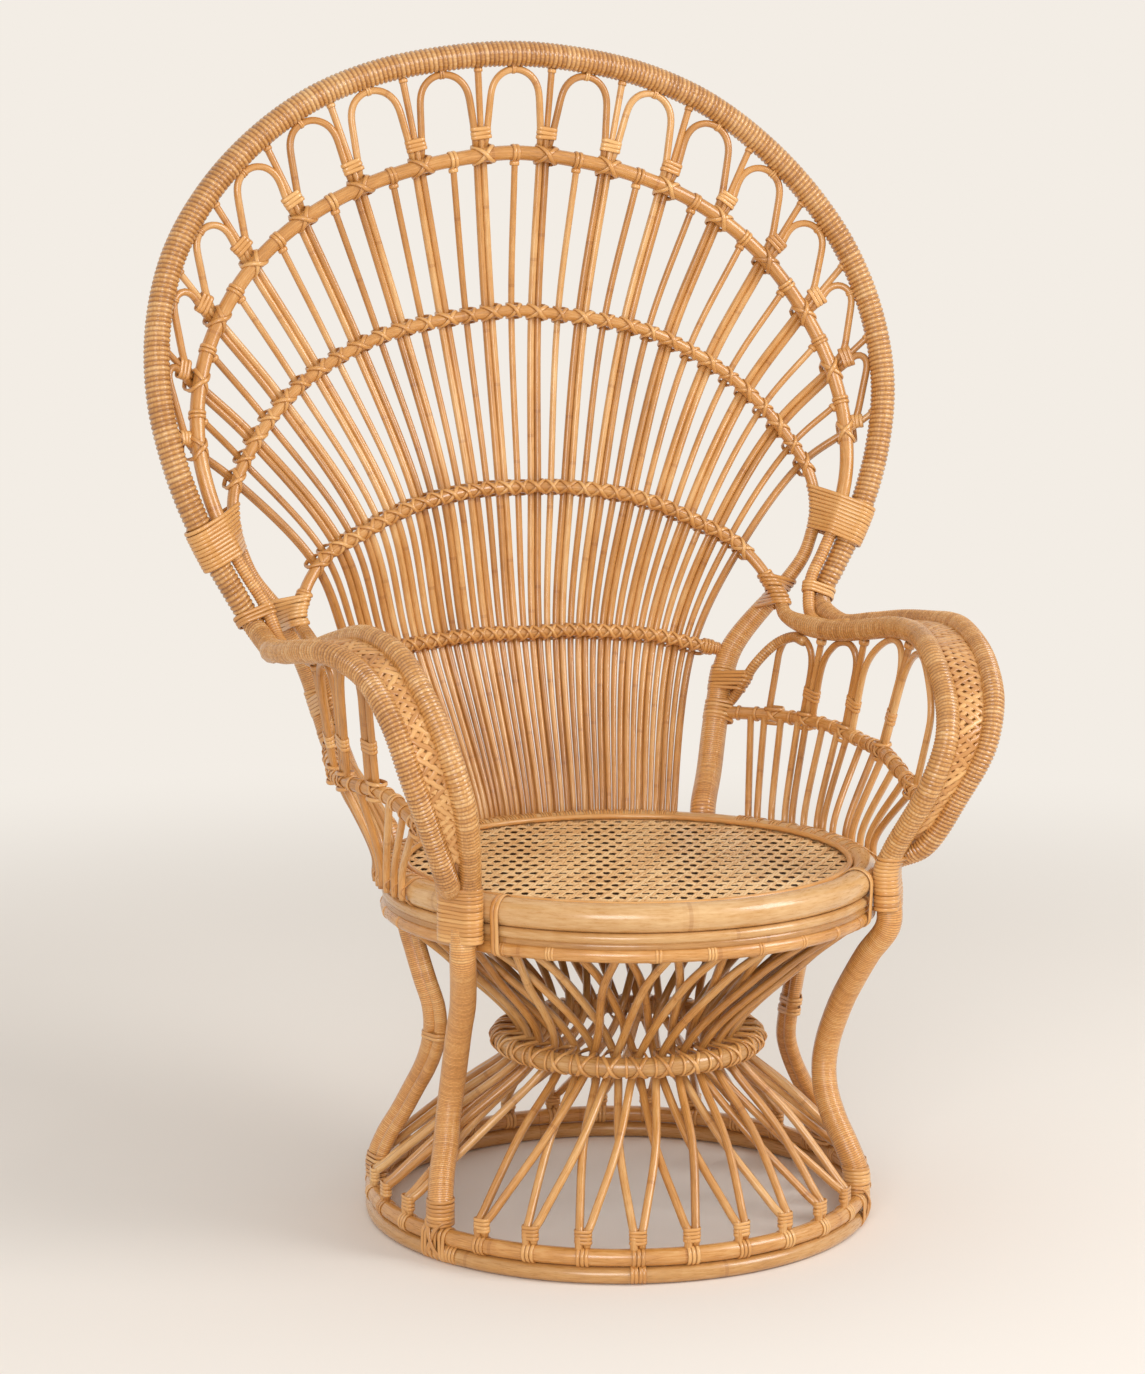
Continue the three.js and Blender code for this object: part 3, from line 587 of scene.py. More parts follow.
def add_loop(builder, circles, axis, width=4.6, thickness=1.1, tilt=0.0, tint=None):
    """A strand pulled tight round several poles, each given as a centre and a radius."""
    axis = unit(axis)
    centres = np.array([centre for centre, _ in circles], float)
    middle = centres.mean(0)
    first = centres[-1] - centres[0] if len(circles) > 1 else np.cross(axis, ODD_WAY)
    across = first - axis * (first @ axis)
    if np.linalg.norm(across) < 0.1:
        across = np.cross(axis, ODD_WAY)
    across = unit(across)
    third = np.cross(axis, across)
    flat = [CIRCLE * (radius + thickness / 2) + [(centre - middle) @ across, (centre - middle) @ third]
            for centre, radius in circles]
    outline = hull_of(np.vstack(flat))
    outline = np.column_stack([outline, np.zeros(len(outline))])
    outline = respaced(outline, LOOP_STEP, True)
    outward = unit(np.cross(np.roll(outline, -1, 0) - np.roll(outline, 1, 0), UP))
    lean = math.tan(tilt) * outline[:, :1] * axis
    path = middle + outline[:, :1] * across + outline[:, 1:2] * third + lean
    path[:, 2] = np.maximum(path[:, 2], thickness / 2 + FLOOR_CLEARANCE)
    normals = outward[:, :1] * across + outward[:, 1:2] * third
    add_strip(builder, path, normals, width, thickness, tint, True)


def add_collar(builder, circles, axis, turns, pitch=4.8, width=4.5, thickness=1.1, sway=0.05):
    """Turns of one strand side by side round several poles."""
    axis = unit(axis)
    shade = rng.random()
    for turn in range(turns):
        offset = (turn - (turns - 1) / 2) * pitch * axis
        moved = [(centre + offset, radius + rng.uniform(0, COLLAR_LOOSENESS)) for centre, radius in circles]
        add_loop(builder, moved, axis, width, thickness, rng.uniform(-sway, sway),
                 shade + rng.uniform(-SHADE_CHANGE, SHADE_CHANGE))


def add_binding(builder, poles, point, axis, turns, pitch=4.8, width=4.5, thickness=1.1, sway=0.04, reach=70):
    """Turns round several poles that don't run side by side, each given as a path and a radius."""
    axis = unit(axis)
    shade = rng.random()
    for turn in range(turns):
        here = point + axis * (turn - (turns - 1) / 2) * pitch
        circles = []
        for path, radius in poles:
            centre = section(path, here, axis, reach)
            if centre is not None:
                circles.append((centre, radius + rng.uniform(0, BINDING_LOOSENESS)))
        if circles:
            add_loop(builder, circles, axis, width, thickness, rng.uniform(-sway, sway),
                     shade + rng.uniform(-SHADE_CHANGE, SHADE_CHANGE))


def add_cross(builder, centre, along, front, radius, depth, half_width, width=4.6, thickness=1.1,
              rise=None):
    """A strand that crosses in an X over the front of a pole, or of a stack of poles that rises more than it
    stands out, and passes behind the canes at its back."""
    along, front = unit(along), unit(front)
    up = unit(np.cross(front, along))
    reach = radius + thickness / 2
    tall = reach if rise is None else rise + thickness / 2
    fullness = 1 if rise is None else 0.5
    shares = np.linspace(-1, 1, CROSS_POINTS)
    angle = shares * np.pi / 2
    over = thickness * np.exp(-(shares / CROSS_HUMP) ** 2)
    behind = np.linspace(0, np.pi, BACK_POINTS + 2)[1:-1]
    side = np.sign(np.cos(behind)) * np.abs(np.cos(behind)) ** 0.7 * half_width
    rows, normals = [], []

    def front_run(sign, lift):
        u = half_width * shares
        v = sign * (tall + lift) * np.sin(angle)
        n = (reach + lift) * np.maximum(np.cos(angle), 0) ** fullness
        rows.append(np.column_stack([u, v, n]))
        normals.append(np.column_stack([np.zeros(CROSS_POINTS), sign * np.sin(angle), np.cos(angle)]))

    def back_run(sign):
        rows.append(np.column_stack([side, np.full(BACK_POINTS, sign * tall), -depth * np.sin(behind)]))
        normals.append(np.column_stack([np.cos(behind), np.zeros(BACK_POINTS), -np.sin(behind)]))

    front_run(1, 0)
    back_run(1)
    front_run(-1, over)
    back_run(-1)
    flat, facing = np.vstack(rows), np.vstack(normals)
    facing = unit(np.roll(facing, 1, 0) + facing + np.roll(facing, -1, 0))
    path = centre + flat[:, :1] * along + flat[:, 1:2] * up + flat[:, 2:] * front
    turned = facing[:, :1] * along + facing[:, 1:2] * up + facing[:, 2:] * front
    path[:, 2] = np.maximum(path[:, 2], thickness / 2 + FLOOR_CLEARANCE)
    add_strip(builder, path, turned, width, thickness, None, True)


# Centre lines of the back
def place(shares, sizes):
    return np.array(shares, float) * sizes


def mirrored(points):
    return np.asarray(points, float) * [-1, 1, 1]


def both_sides(points):
    return np.vstack([mirrored(points)[::-1], points[1:]])


def around_seat(radius, angle, height, setback=SEAT_SETBACK):
    return np.array([radius * math.sin(angle), setback + radius * math.cos(angle), height])


def along_ring(angle):
    """The direction along a ring round the seat."""
    return np.array([math.cos(angle), -math.sin(angle), 0])


def out_of_ring(angle):
    return np.array([math.sin(angle), math.cos(angle), 0])


def ring_path(radius, height, setback, count=96):
    return np.array([around_seat(radius, 2 * math.pi * k / count, height, setback) for k in range(count)])


class Row:
    """A curved row of the fan, with places along it for the spokes."""

    def __init__(self, shares, radius, pitch):
        self.path = spline(both_sides(place(shares, BACK_SIZES)), 24)
        self.along = lengths(self.path)
        self.radius, self.pitch = radius, pitch

    def point_at(self, distance):
        return np.array([np.interp(distance, self.along, self.path[:, axis]) for axis in range(3)])

    def at(self, post):
        return self.point_at((1 + post * self.pitch) / 2 * self.along[-1])

    def tangent(self, post):
        middle = (1 + post * self.pitch) / 2 * self.along[-1]
        return unit(self.point_at(middle + 2) - self.point_at(middle - 2))


hoop_row = Row(HOOP_SHARES, HOOP_RADIUS, HOOP_PITCH)
crest_row = Row(CREST_SHARES, CREST_RADIUS, CREST_PITCH)
arc_rows = [
    Row(LOWER_SHARES, ARC_RADIUS, LOWER_PITCH),
    Row(MIDDLE_SHARES, ARC_RADIUS, MIDDLE_PITCH),
    Row(UPPER_SHARES, ARC_RADIUS, UPPER_PITCH),
    crest_row,
]
SINGLES = list(range(-PETALS_PER_SIDE, PETALS_PER_SIDE + 1))
DOUBLES = [single - 0.5 for single in SINGLES] + [PETALS_PER_SIDE + 0.5]


def spoke_feet(post, shift):
    ring = RIM_OUTER + SPOKE_RADIUS + GAP
    angle = (post * RIM_PITCH * RIM_OUTER + shift) / ring
    return [around_seat(ring, angle, RIM_HEIGHT - RIM_RADIUS), around_seat(ring, angle, SEAT_HEIGHT)]


def back_of(up, along):
    """The direction to the back of a row, from the way up and the way along it."""
    back = unit(np.cross(up, along))
    return -back if back[1] < 0 else back


def around_post(index, post):
    """Middle of an arc at a spoke, and the directions up the spoke, to the front and along the arc."""
    row = arc_rows[index]
    below = spoke_feet(post, 0)[1] if index == 0 else arc_rows[index - 1].at(post)
    above = hoop_row.at(post) if index == 3 else arc_rows[index + 1].at(post)
    along = row.tangent(post)
    return row.at(post), unit(above - below), -back_of(above - below, along), along


def crossing(index, post, shift):
    """Where a spoke passes behind an arc."""
    centre, _, front, along = around_post(index, post)
    return centre + along * shift - front * (arc_rows[index].radius + SPOKE_RADIUS + SLANT_GAP)


def spoke_run(post, shift):
    return spoke_feet(post, shift) + [crossing(index, post, shift) for index in range(4)]


def collar_point(post, shift):
    foot = crest_row.at(post)
    up = hoop_row.at(post) - foot
    height = min(CREST_COLLAR_HEIGHT, CREST_COLLAR_SHARE * (np.linalg.norm(up) - HOOP_RADIUS))
    up = unit(up)
    along = crest_row.tangent(post)
    return foot + up * height + back_of(up, along) * CREST_RADIUS / 2 + along * shift


def out_of_crest(post):
    """The direction from the crest arc to the hoop, square to the hoop."""
    along = hoop_row.tangent(post)
    out = unit(hoop_row.at(post) - crest_row.at(post))
    return unit(out - along * (out @ along))


def petal_points(middle):
    """A cane's run from the seat up one spoke, round its arch under the hoop and down the next spoke."""
    crown, along = hoop_row.at(middle), hoop_row.tangent(middle)
    feet = [collar_point(middle - 0.5, PETAL_SPREAD), collar_point(middle + 0.5, -PETAL_SPREAD)]
    out = out_of_crest(middle)
    room = (crown - (feet[0] + feet[1]) / 2) @ out - HOOP_RADIUS
    radius = min(np.interp(abs(middle), *PETAL_ARCHES), PETAL_ROOM_SHARE * room)
    lean = math.copysign(np.interp(abs(middle), *PETAL_LEANS), -middle)
    centre = np.array([lean, -HOOP_RADIUS - SPOKE_RADIUS + 1 - radius])
    flat = [np.array([(foot - crown) @ along, (foot - crown) @ out]) for foot in feet]
    hull = hull_of(np.vstack([CIRCLE * radius + centre, flat]))
    hull = np.roll(hull, -int(np.argmin(np.linalg.norm(hull - flat[1], axis=1))), 0)
    last = int(np.argmin(np.linalg.norm(hull - flat[0], axis=1)))
    walk = np.vstack([flat[0], hull[:last + 1][::-1], flat[1]])
    facing = np.cross(along, out)
    depth = 0
    for end, foot in zip(flat, feet):
        fade = np.clip(1 - np.linalg.norm(walk - end, axis=1) / (1.2 * radius + 12), 0, 1)
        depth = depth + fade * ((foot - crown) @ facing)
    arch = crown + walk[:, :1] * along + walk[:, 1:] * out + depth[:, None] * facing
    ends = [spline(spoke_run(middle + side / 2, -side * SPOKE_SPREAD), 12) for side in (-1, 1)]
    path = respaced(np.vstack([ends[0], arch, ends[1][::-1]]), 4)
    return respaced(relaxed(path, 7), 5)


# Centre lines of the arms, drawn as if on the right, and of the legs and the stand
def rail_foot(angle, height):
    return around_seat(RIM_OUTER + RAIL_RADIUS + GAP, angle, height)


def outer_rail(hand):
    """The outer rail runs on from the hoop's end, round the arm and down to the seat."""
    rail = place(OUTER_RAIL_SHARES, ARM_SIZES)
    for index, drop in OUTER_DROPS[hand].items():
        rail[index] -= np.array(drop)
    feet = [rail_foot(FRONT_LEG_ANGLE - RAIL_FOOT_TURN, height) for height in (SEAT_HEIGHT, LASHING_TOP)]
    return np.vstack([rail, feet])


def inner_rail(hand):
    """The inner rail runs on from the middle arc's end, at the back, down to the seat."""
    start = np.vstack([place(MIDDLE_SHARES[-2:], BACK_SIZES), INNER_RAIL_START])
    rest = RIGHT_INNER_RAIL if hand > 0 else place(INNER_RAIL_SHARES, ARM_SIZES)[1:]
    angle = FRONT_LEG_ANGLE - RAIL_FOOT_TURN + 2 * RAIL_RADIUS / (RIM_OUTER + RAIL_RADIUS)
    feet = [rail_foot(angle, SEAT_HEIGHT), rail_foot(angle, LASHING_TOP)]
    return np.vstack([start, rest, feet])


def post_path(hand):
    """The rear post runs on from the upper arc's end down to the seat."""
    ring = RIM_OUTER + POST_RADIUS + SLANT_GAP
    angle = REAR_POST_ANGLE if hand > 0 else LEFT_POST_ANGLE
    feet = np.array([around_seat(ring, angle, height) for height in (SEAT_HEIGHT, LASHING_TOP - POST_RADIUS)])
    shaft = place(POST_SHARES, BACK_SIZES)
    if hand > 0:
        feet -= RIGHT_POST_SHIFT
    else:
        shaft = np.vstack([shaft[:1], LEFT_POST])
    return np.vstack([place(UPPER_SHARES[-3:], BACK_SIZES), shaft, feet])


def mid_rail(hand):
    rail = place(MID_RAIL_SHARES, ARM_SIZES)
    if hand < 0:
        rail[:len(LEFT_MID_RAIL)] = LEFT_MID_RAIL
    return rail


def brace_points(hand):
    brace = np.vstack([[BRACE_FOOT], place(BRACE_SHARES, ARM_SIZES)])
    if hand < 0:
        brace[:len(LEFT_BRACE)] = LEFT_BRACE
    return brace


def along_curve(points, share):
    """The point of a curve at a share of its spans, as three.js numbers them."""
    path = spline(points, 32)
    spot = share * (len(path) - 1)
    index = min(int(spot), len(path) - 2)
    return lerp(path[index], path[index + 1], spot - index)


class ArmFace:
    """The curved face between an arm's middle and inner rails, in columns that lean as its posts do."""

    def __init__(self, hand):
        self.rail = spline(inner_rail(hand), 32)
        self.mid = mid_rail(hand)
        self.feet, self.heads = ARM_FEET[hand], ARM_HEADS[hand]
        self.posts = len(self.feet) - 2

    def foot(self, column):
        return along_curve(self.mid, float(np.interp(column, range(len(self.feet)), self.feet)))

    def head(self, column):
        level = np.interp(column, range(len(self.heads)), self.heads)
        return self.rail[int(np.argmax(self.rail[:, 1] < level))]

    def at(self, column, share):
        return lerp(self.foot(column), self.head(column), share)

    def top(self, column, radius):
        """The share at which a cane of this radius touches the rail."""
        return 1 - (RAIL_RADIUS + radius) / np.linalg.norm(self.head(column) - self.foot(column))

    def offset(self, column, distance):
        """A column moved along the middle rail by a distance."""
        step = np.linalg.norm(self.foot(column + 0.1) - self.foot(column - 0.1)) / 0.2
        return column + distance / step


def leg_points(shares, side):
    foot = BASE_UPPER_HEIGHT + BASE_RISE + GAP
    top, bottom = shares[1][0], shares[-2][0]
    out = []
    for height_share, ring_share, degrees, turn in shares:
        rise = min(max((height_share - bottom) / (top - bottom), 0), 1)
        setback = BASE_SETBACK + (SEAT_SETBACK - BASE_SETBACK) * rise
        height = foot + (LASHING_TOP - GAP - foot) * height_share
        out.append(around_seat(ring_share * BASE_RING, math.radians(side * degrees + turn), height, setback))
    return np.array(out)


def apron_height(index):
    above = GAP + sum(2 * radius * THIN_FLAT + GAP for radius in APRON_RADII[:index])
    return RIM_HEIGHT - RIM_RADIUS - above - APRON_RADII[index] * THIN_FLAT


def lattice_points(pair, side):
    half = LATTICE_RADIUS + GAP / 2
    layer = LATTICE_BEND * half
    waist_ring = WAIST_RING - WAIST_BEND * (WAIST_RADIUS + LATTICE_RADIUS + GAP) - layer
    top_ring = (APRON_RING - APRON_RADII[-1]) * RING_FACET - LATTICE_RADIUS - GAP
    top_height = apron_height(2)
    start = pair * 2 * math.pi / LATTICE_PAIRS + BASE_TURN
    waist = start + side * LOWER_TWIST
    end = waist + side * UPPER_TWIST
    bottom_angle = start + side * half / BASE_RING
    end_angle = end - side * half / top_ring
    inner = side > 0
    bottom = BASE_UPPER_HEIGHT if inner else BASE_UPPER_HEIGHT + BASE_RISE + GAP
    lower_ring = lerp(BASE_RING, waist_ring, 0.5) * LOWER_SAG - side * layer
    upper_ring = lerp(waist_ring, top_ring, UPPER_CROSS) * LATTICE_SAG - side * layer
    neck = around_seat(BASE_RING, bottom_angle, NECK_HEIGHT, BASE_SETBACK)
    middle = around_seat(lower_ring, lerp(start, waist, 0.5), lerp(NECK_HEIGHT, WAIST_HEIGHT, 0.5),
                         lerp(BASE_SETBACK, SEAT_SETBACK, 0.5))
    return np.array([
        around_seat(BASE_RING, bottom_angle, bottom, BASE_SETBACK),
        neck, lerp(neck, middle, NECK_SHARE), middle,
        around_seat(waist_ring - side * layer, waist, WAIST_HEIGHT),
        around_seat(upper_ring, lerp(waist, end, UPPER_CROSS), lerp(WAIST_HEIGHT, top_height, UPPER_CROSS)),
        around_seat(top_ring if inner else APRON_RING, end_angle, top_height),
    ])


def eased_cane(pair, side):
    """A cane of the stand, its bends between the collar and the waist drawn out to one long bow."""
    path = smooth(lattice_points(pair, side), 6)
    heights = path[:, 2:]
    share = ramped(heights, NECK_HEIGHT, 25) * ramped(206 - heights, 0, 34)
    return lerp(path, relaxed(path, EASING), share)


# Materials
class Nodes:
    """Short forms for a material's nodes."""

    def __init__(self, name):
        self.material = bpy.data.materials.new(name)
        self.material.use_nodes = True
        self.tree = self.material.node_tree
        self.shader = self.tree.nodes["Principled BSDF"]

    def node(self, kind, **settings):
        node = self.tree.nodes.new(kind)
        for key, value in settings.items():
            setattr(node, key, value)
        return node

    def link(self, source, target):
        self.tree.links.new(source, target)

    def math(self, operation, first, second=None, third=None):
        node = self.node("ShaderNodeMath", operation=operation)
        for socket, value in zip(node.inputs, (first, second, third)):
            if value is None:
                continue
            if isinstance(value, (int, float)):
                socket.default_value = value
            else:
                self.link(value, socket)
        return node.outputs[0]

    def noise(self, vector, scale, detail=3.0, roughness=0.55):
        node = self.node("ShaderNodeTexNoise")
        node.inputs["Scale"].default_value = scale
        node.inputs["Detail"].default_value = detail
        node.inputs["Roughness"].default_value = roughness
        self.link(vector, node.inputs["Vector"])
        return node.outputs["Fac"]

    def mix(self, kind, factor, first, second):
        node = self.node("ShaderNodeMix", data_type="RGBA", blend_type=kind)
        for socket, value in ((node.inputs[0], factor), (node.inputs[6], first), (node.inputs[7], second)):
            if isinstance(value, (int, float)):
                socket.default_value = value
            elif isinstance(value, tuple):
                socket.default_value = (*value, 1)
            else:
                self.link(value, socket)
        return node.outputs[2]

    def ramp(self, factor, *stops):
        node = self.node("ShaderNodeValToRGB")
        elements = node.color_ramp.elements
        while len(elements) < len(stops):
            elements.new(0.5)
        for element, (position, colour) in zip(elements, stops):
            element.position = position
            element.color = (*colour, 1)
        self.link(factor, node.inputs["Fac"])
        return node.outputs["Color"]


def linear(colour):
    """Linear light from an sRGB colour of 0 to 255."""
    parts = [part / 255 for part in colour]
    return tuple(part / 12.92 if part <= 0.04045 else ((part + 0.055) / 1.055) ** 2.4 for part in parts)


def rattan(name, dark, middle, light, roughness, tint_share, node_every=0.0):
    """Lacquered rattan: fibres along each cane, soft blotches, a tint of its own, darker nodes and painted
    shade.
    """
    n = Nodes(name)
    run = n.node("ShaderNodeUVMap", uv_map="Run").outputs["UV"]
    split = n.node("ShaderNodeSeparateXYZ")
    n.link(run, split.inputs[0])
    around, along = split.outputs[0], split.outputs[1]
    tint = n.node("ShaderNodeAttribute", attribute_name="tint").outputs["Fac"]
    angle = n.math("MULTIPLY", around, 2 * math.pi)
    fibres = n.node("ShaderNodeCombineXYZ")
    n.link(n.math("MULTIPLY", n.math("SINE", angle), 1.6), fibres.inputs[0])
    n.link(n.math("MULTIPLY", n.math("COSINE", angle), 1.6), fibres.inputs[1])
    n.link(n.math("ADD", n.math("MULTIPLY", along, 14.0), n.math("MULTIPLY", tint, 37.0)), fibres.inputs[2])
    streak = n.noise(fibres.outputs[0], 3.2, 6.0, 0.65)
    place_of = n.node("ShaderNodeTexCoord").outputs["Object"]
    blotch = n.noise(place_of, 9.0, 4.0, 0.6)
    speck = n.noise(place_of, 160.0, 3.0, 0.6)
    value = n.math("ADD", n.math("MULTIPLY", tint, tint_share), n.math("MULTIPLY", streak, 0.5))
    value = n.math("ADD", value, n.math("MULTIPLY", blotch, 0.36))
    value = n.math("SUBTRACT", value, tint_share / 2 - 0.07)
    colour = n.ramp(value, (0.2, linear(dark)), (0.5, linear(middle)), (0.8, linear(light)))
    if node_every:
        spans = n.math("ADD", n.math("MULTIPLY", along, 1 / node_every), n.math("MULTIPLY", tint, 5.0))
        place_in = n.math("FRACT", spans)
        ring = n.math("COMPARE", place_in, 0.5, 0.0022 / node_every)
        halo = n.math("COMPARE", place_in, 0.5, 0.009 / node_every)
        colour = n.mix("MULTIPLY", n.math("MULTIPLY", halo, 0.12), colour, HALO_STAIN)
        colour = n.mix("MULTIPLY", n.math("MULTIPLY", ring, 0.3), colour, NODE_STAIN)
    # Painted shade: darker in the grooves between wound strands and on the backs and sides of strands
    groove = n.node("ShaderNodeAttribute", attribute_name="groove").outputs["Fac"]
    colour = n.mix("MULTIPLY", n.math("MULTIPLY", groove, 0.9), colour, GROOVE_SHADE)
    worn = n.ramp(speck, (0.62, (0, 0, 0)), (0.72, (1, 1, 1)))
    colour = n.mix("MULTIPLY", n.math("MULTIPLY", worn, 0.1), colour, SPECK_STAIN)
    n.link(colour, n.shader.inputs["Base Color"])
    rough = n.math("ADD", n.math("MULTIPLY", streak, 0.22), roughness - 0.1)
    n.link(rough, n.shader.inputs["Roughness"])
    n.shader.inputs["Specular IOR Level"].default_value = 0.5
    n.shader.inputs["Coat Weight"].default_value = 0.5
    n.shader.inputs["Coat Roughness"].default_value = 0.18
    bump = n.node("ShaderNodeBump")
    bump.inputs["Strength"].default_value = 0.12
    bump.inputs["Distance"].default_value = 0.001
    n.link(n.math("ADD", streak, n.math("MULTIPLY", speck, 0.5)), bump.inputs["Height"])
    n.link(bump.outputs["Normal"], n.shader.inputs["Normal"])
    return n.material


# Each has a dark, a middle and a light colour, a roughness, the share of its tint and the run between nodes
WRAP_MATERIAL = rattan("wound_rattan", (128, 74, 28), (204, 146, 78), (246, 208, 150), 0.26, 0.15)
FINE_WRAP_MATERIAL = rattan("finely_wound_rattan", (156, 94, 38), (220, 158, 86), (246, 206, 140), 0.32, 0.14)
POLE_MATERIAL = rattan("rattan_pole", (144, 90, 38), (194, 143, 82), (230, 192, 140), 0.28, 0.3, 0.31)
CANE_MATERIAL = rattan("rattan_cane", (122, 68, 24), (202, 142, 74), (246, 208, 148), 0.28, 0.17, 0.23)
STRAND_MATERIAL = rattan("cane_strand", (148, 90, 36), (214, 154, 84), (248, 208, 144), 0.32, 0.16)
WEB_MATERIAL = rattan("woven_cane", (196, 140, 80), (242, 196, 134), (255, 228, 178), 0.5, 0.3)
PLAIT_MATERIAL = rattan("plaited_cane", (140, 84, 36), (202, 142, 76), (232, 182, 116), 0.42, 0.6)
# The last is painted shade: the dark sheet under the seat's weave
SHADED_MATERIAL = rattan("painted_shade_sheet", (58, 34, 16), (84, 52, 26), (104, 68, 36), 0.7, 0.3)


# Pieces of the back
def spoke_radii(path, low, high):
    """Spokes are drawn out a little thinner towards the seat."""
    return low + (high - low) * ramped(path[:, 2], SEAT_HEIGHT, SPOKE_SWELL)


def hoop_and_rails():
    """The hoop turns at both ends into the outer rails: three runs, wound at the pitch that each has."""
    halves = [np.vstack([place(HOOP_SHARES, BACK_SIZES), outer_rail(hand)[1:]]) for _, hand in HANDS]
    path = spline(np.vstack([mirrored(halves[0])[::-1], halves[1][1:]]), 16) * HOOP_INSIDE
    high = np.flatnonzero(path[:, 2] > HOOP_END)
    first, last = high[0], high[-1]
    return path[:first + 1], path[first:last + 1], path[last:]


def hoop_radii(path):
    """The pole thins from the hoop to the rails where it turns."""
    share = ramped(path[:, 2], 700, 160) * ramped(path[:, 1], 150, 100)
    return RAIL_RADIUS + (HOOP_RADIUS - RAIL_RADIUS) * share


def build_back():
    """The wound hoop, the finials, the arcs, the single spokes and the petals."""
    hoop = Builder()
    for path, pitch in zip(hoop_and_rails(), WRAP_PITCHES):
        add_wrap(hoop, path, hoop_radii, pitch, height=2.0, per_turn=6, groove=0.42)
    hoop.finish("back_hoop_and_outer_rails", WRAP_MATERIAL, "rattan_pole", "back_hoop", "outer_arm_rail_left",
                "outer_arm_rail_right")

    finials = Builder()
    for post in DOUBLES:
        top = hoop_row.at(post)
        foot = collar_point(post, 0)
        foot = foot + (foot - top) * 0.3
        path = respaced(np.array([foot, top]), 5)
        add_cane(finials, path, np.linspace(FINIAL_RADIUS + 0.3, FINIAL_RADIUS + 1.3, len(path)))
        third_cane = smooth(np.array(spoke_run(post, 0)) + [0, THIRD_CANE_SETBACK, 0], 10)
        add_cane(finials, third_cane, THIRD_CANE_RADIUS, 6)
    finials.finish("finials", CANE_MATERIAL, "rattan_cane")

    crest = Builder()
    path = smooth(both_sides(place(CREST_SHARES, BACK_SIZES)))
    add_cane(crest, path[path[:, 2] > CREST_CUT], CREST_RADIUS, 14, tint=0.45)
    for post in SINGLES:
        run = spoke_run(post, 0)
        run[-1] = crest_row.at(post)
        path = smooth(run, 8)
        add_cane(crest, path, spoke_radii(path, *SINGLE_SPOKE_RADII))
    crest.finish("crest_arc_and_spokes", CANE_MATERIAL, "rattan_cane", "crest_arc")

    for name, shares in (("upper_arc", UPPER_SHARES), ("middle_arc", MIDDLE_SHARES),
                         ("lower_arc", LOWER_SHARES)):
        arc = Builder()
        add_cane(arc, smooth(both_sides(place(shares, BACK_SIZES))), ARC_RADIUS, 12, tint=0.4)
        arc.finish(name + "_round", CANE_MATERIAL, "rattan_cane", name)

    for number, middle in enumerate(SINGLES, 1):
        petal = Builder()
        path = petal_points(middle)
        add_cane(petal, path, spoke_radii(path, *PETAL_CANE_RADII))
        petal.finish(f"petal_bow_{number:02d}", CANE_MATERIAL, "rattan_cane", f"petal_cane_{number:02d}")


def bind_fan():
    """The strands that bind the fan's spokes to its arcs, and the petals to each other and to the hoop."""
    bindings = (
        ("lower_arc_bindings", 10.5, 8.5, 4.8), ("middle_arc_bindings", 11.5, 9, 5.2),
        ("upper_arc_bindings", 13, 9, 5.6), ("crest_arc_bindings", 14, 0, 5.8),
    )
    for index, (name, double_half, single_half, width) in enumerate(bindings):
        strands = Builder()
        radius = arc_rows[index].radius
        depth = radius + 2 * SPOKE_RADIUS + 3.2
        for post in DOUBLES + SINGLES:
            centre, up, front, along = around_post(index, post)
            half, share = (double_half, 1) if post in DOUBLES else (single_half, 0.82)
            if half:
                add_cross(strands, centre, along, front, radius, depth, half, width * share, 2.2)
            else:
                add_collar(strands, [(centre, radius)], along, turns=2, pitch=5.4, width=5, thickness=1.8)
                neck = centre - up * (radius + 4) - front * 2
                add_collar(strands, [(neck, SPOKE_RADIUS + 0.7)], up, turns=1, width=6, thickness=1.8)
        strands.finish(name, STRAND_MATERIAL, "rattan_cane")

    collars = Builder()
    for post in DOUBLES:
        up = unit(hoop_row.at(post) - crest_row.at(post))
        circles = []
        if post != DOUBLES[0]:
            circles.append((collar_point(post, -PETAL_SPREAD), SPOKE_RADIUS + 0.5))
        if post != DOUBLES[-1]:
            circles.append((collar_point(post, PETAL_SPREAD), SPOKE_RADIUS + 0.5))
        circles.append((collar_point(post, 0), FINIAL_RADIUS))
        along = crest_row.tangent(post)
        axis = unit(np.cross(along, np.cross(up, along)))
        add_collar(collars, circles, axis, turns=3, pitch=5.3, width=5.4, thickness=1.5)
        head = hoop_row.at(post) - up * (HOOP_RADIUS + 3)
        add_collar(collars, [(head, FINIAL_RADIUS + 0.9)], up, turns=1, width=5, thickness=1.2)
    for middle in SINGLES[1:-1]:
        out = out_of_crest(middle)
        path = petal_points(middle)
        apex = path[np.argmax((path - crest_row.at(middle)) @ out)]
        circles = [(apex, SPOKE_RADIUS + 0.8), (apex + out * 9, 3)]
        along = hoop_row.tangent(middle)
        add_collar(collars, circles, along, turns=2, pitch=3, width=2.8, thickness=1.2, sway=0.08)
    collars.finish("petal_collars", STRAND_MATERIAL, "rattan_cane")


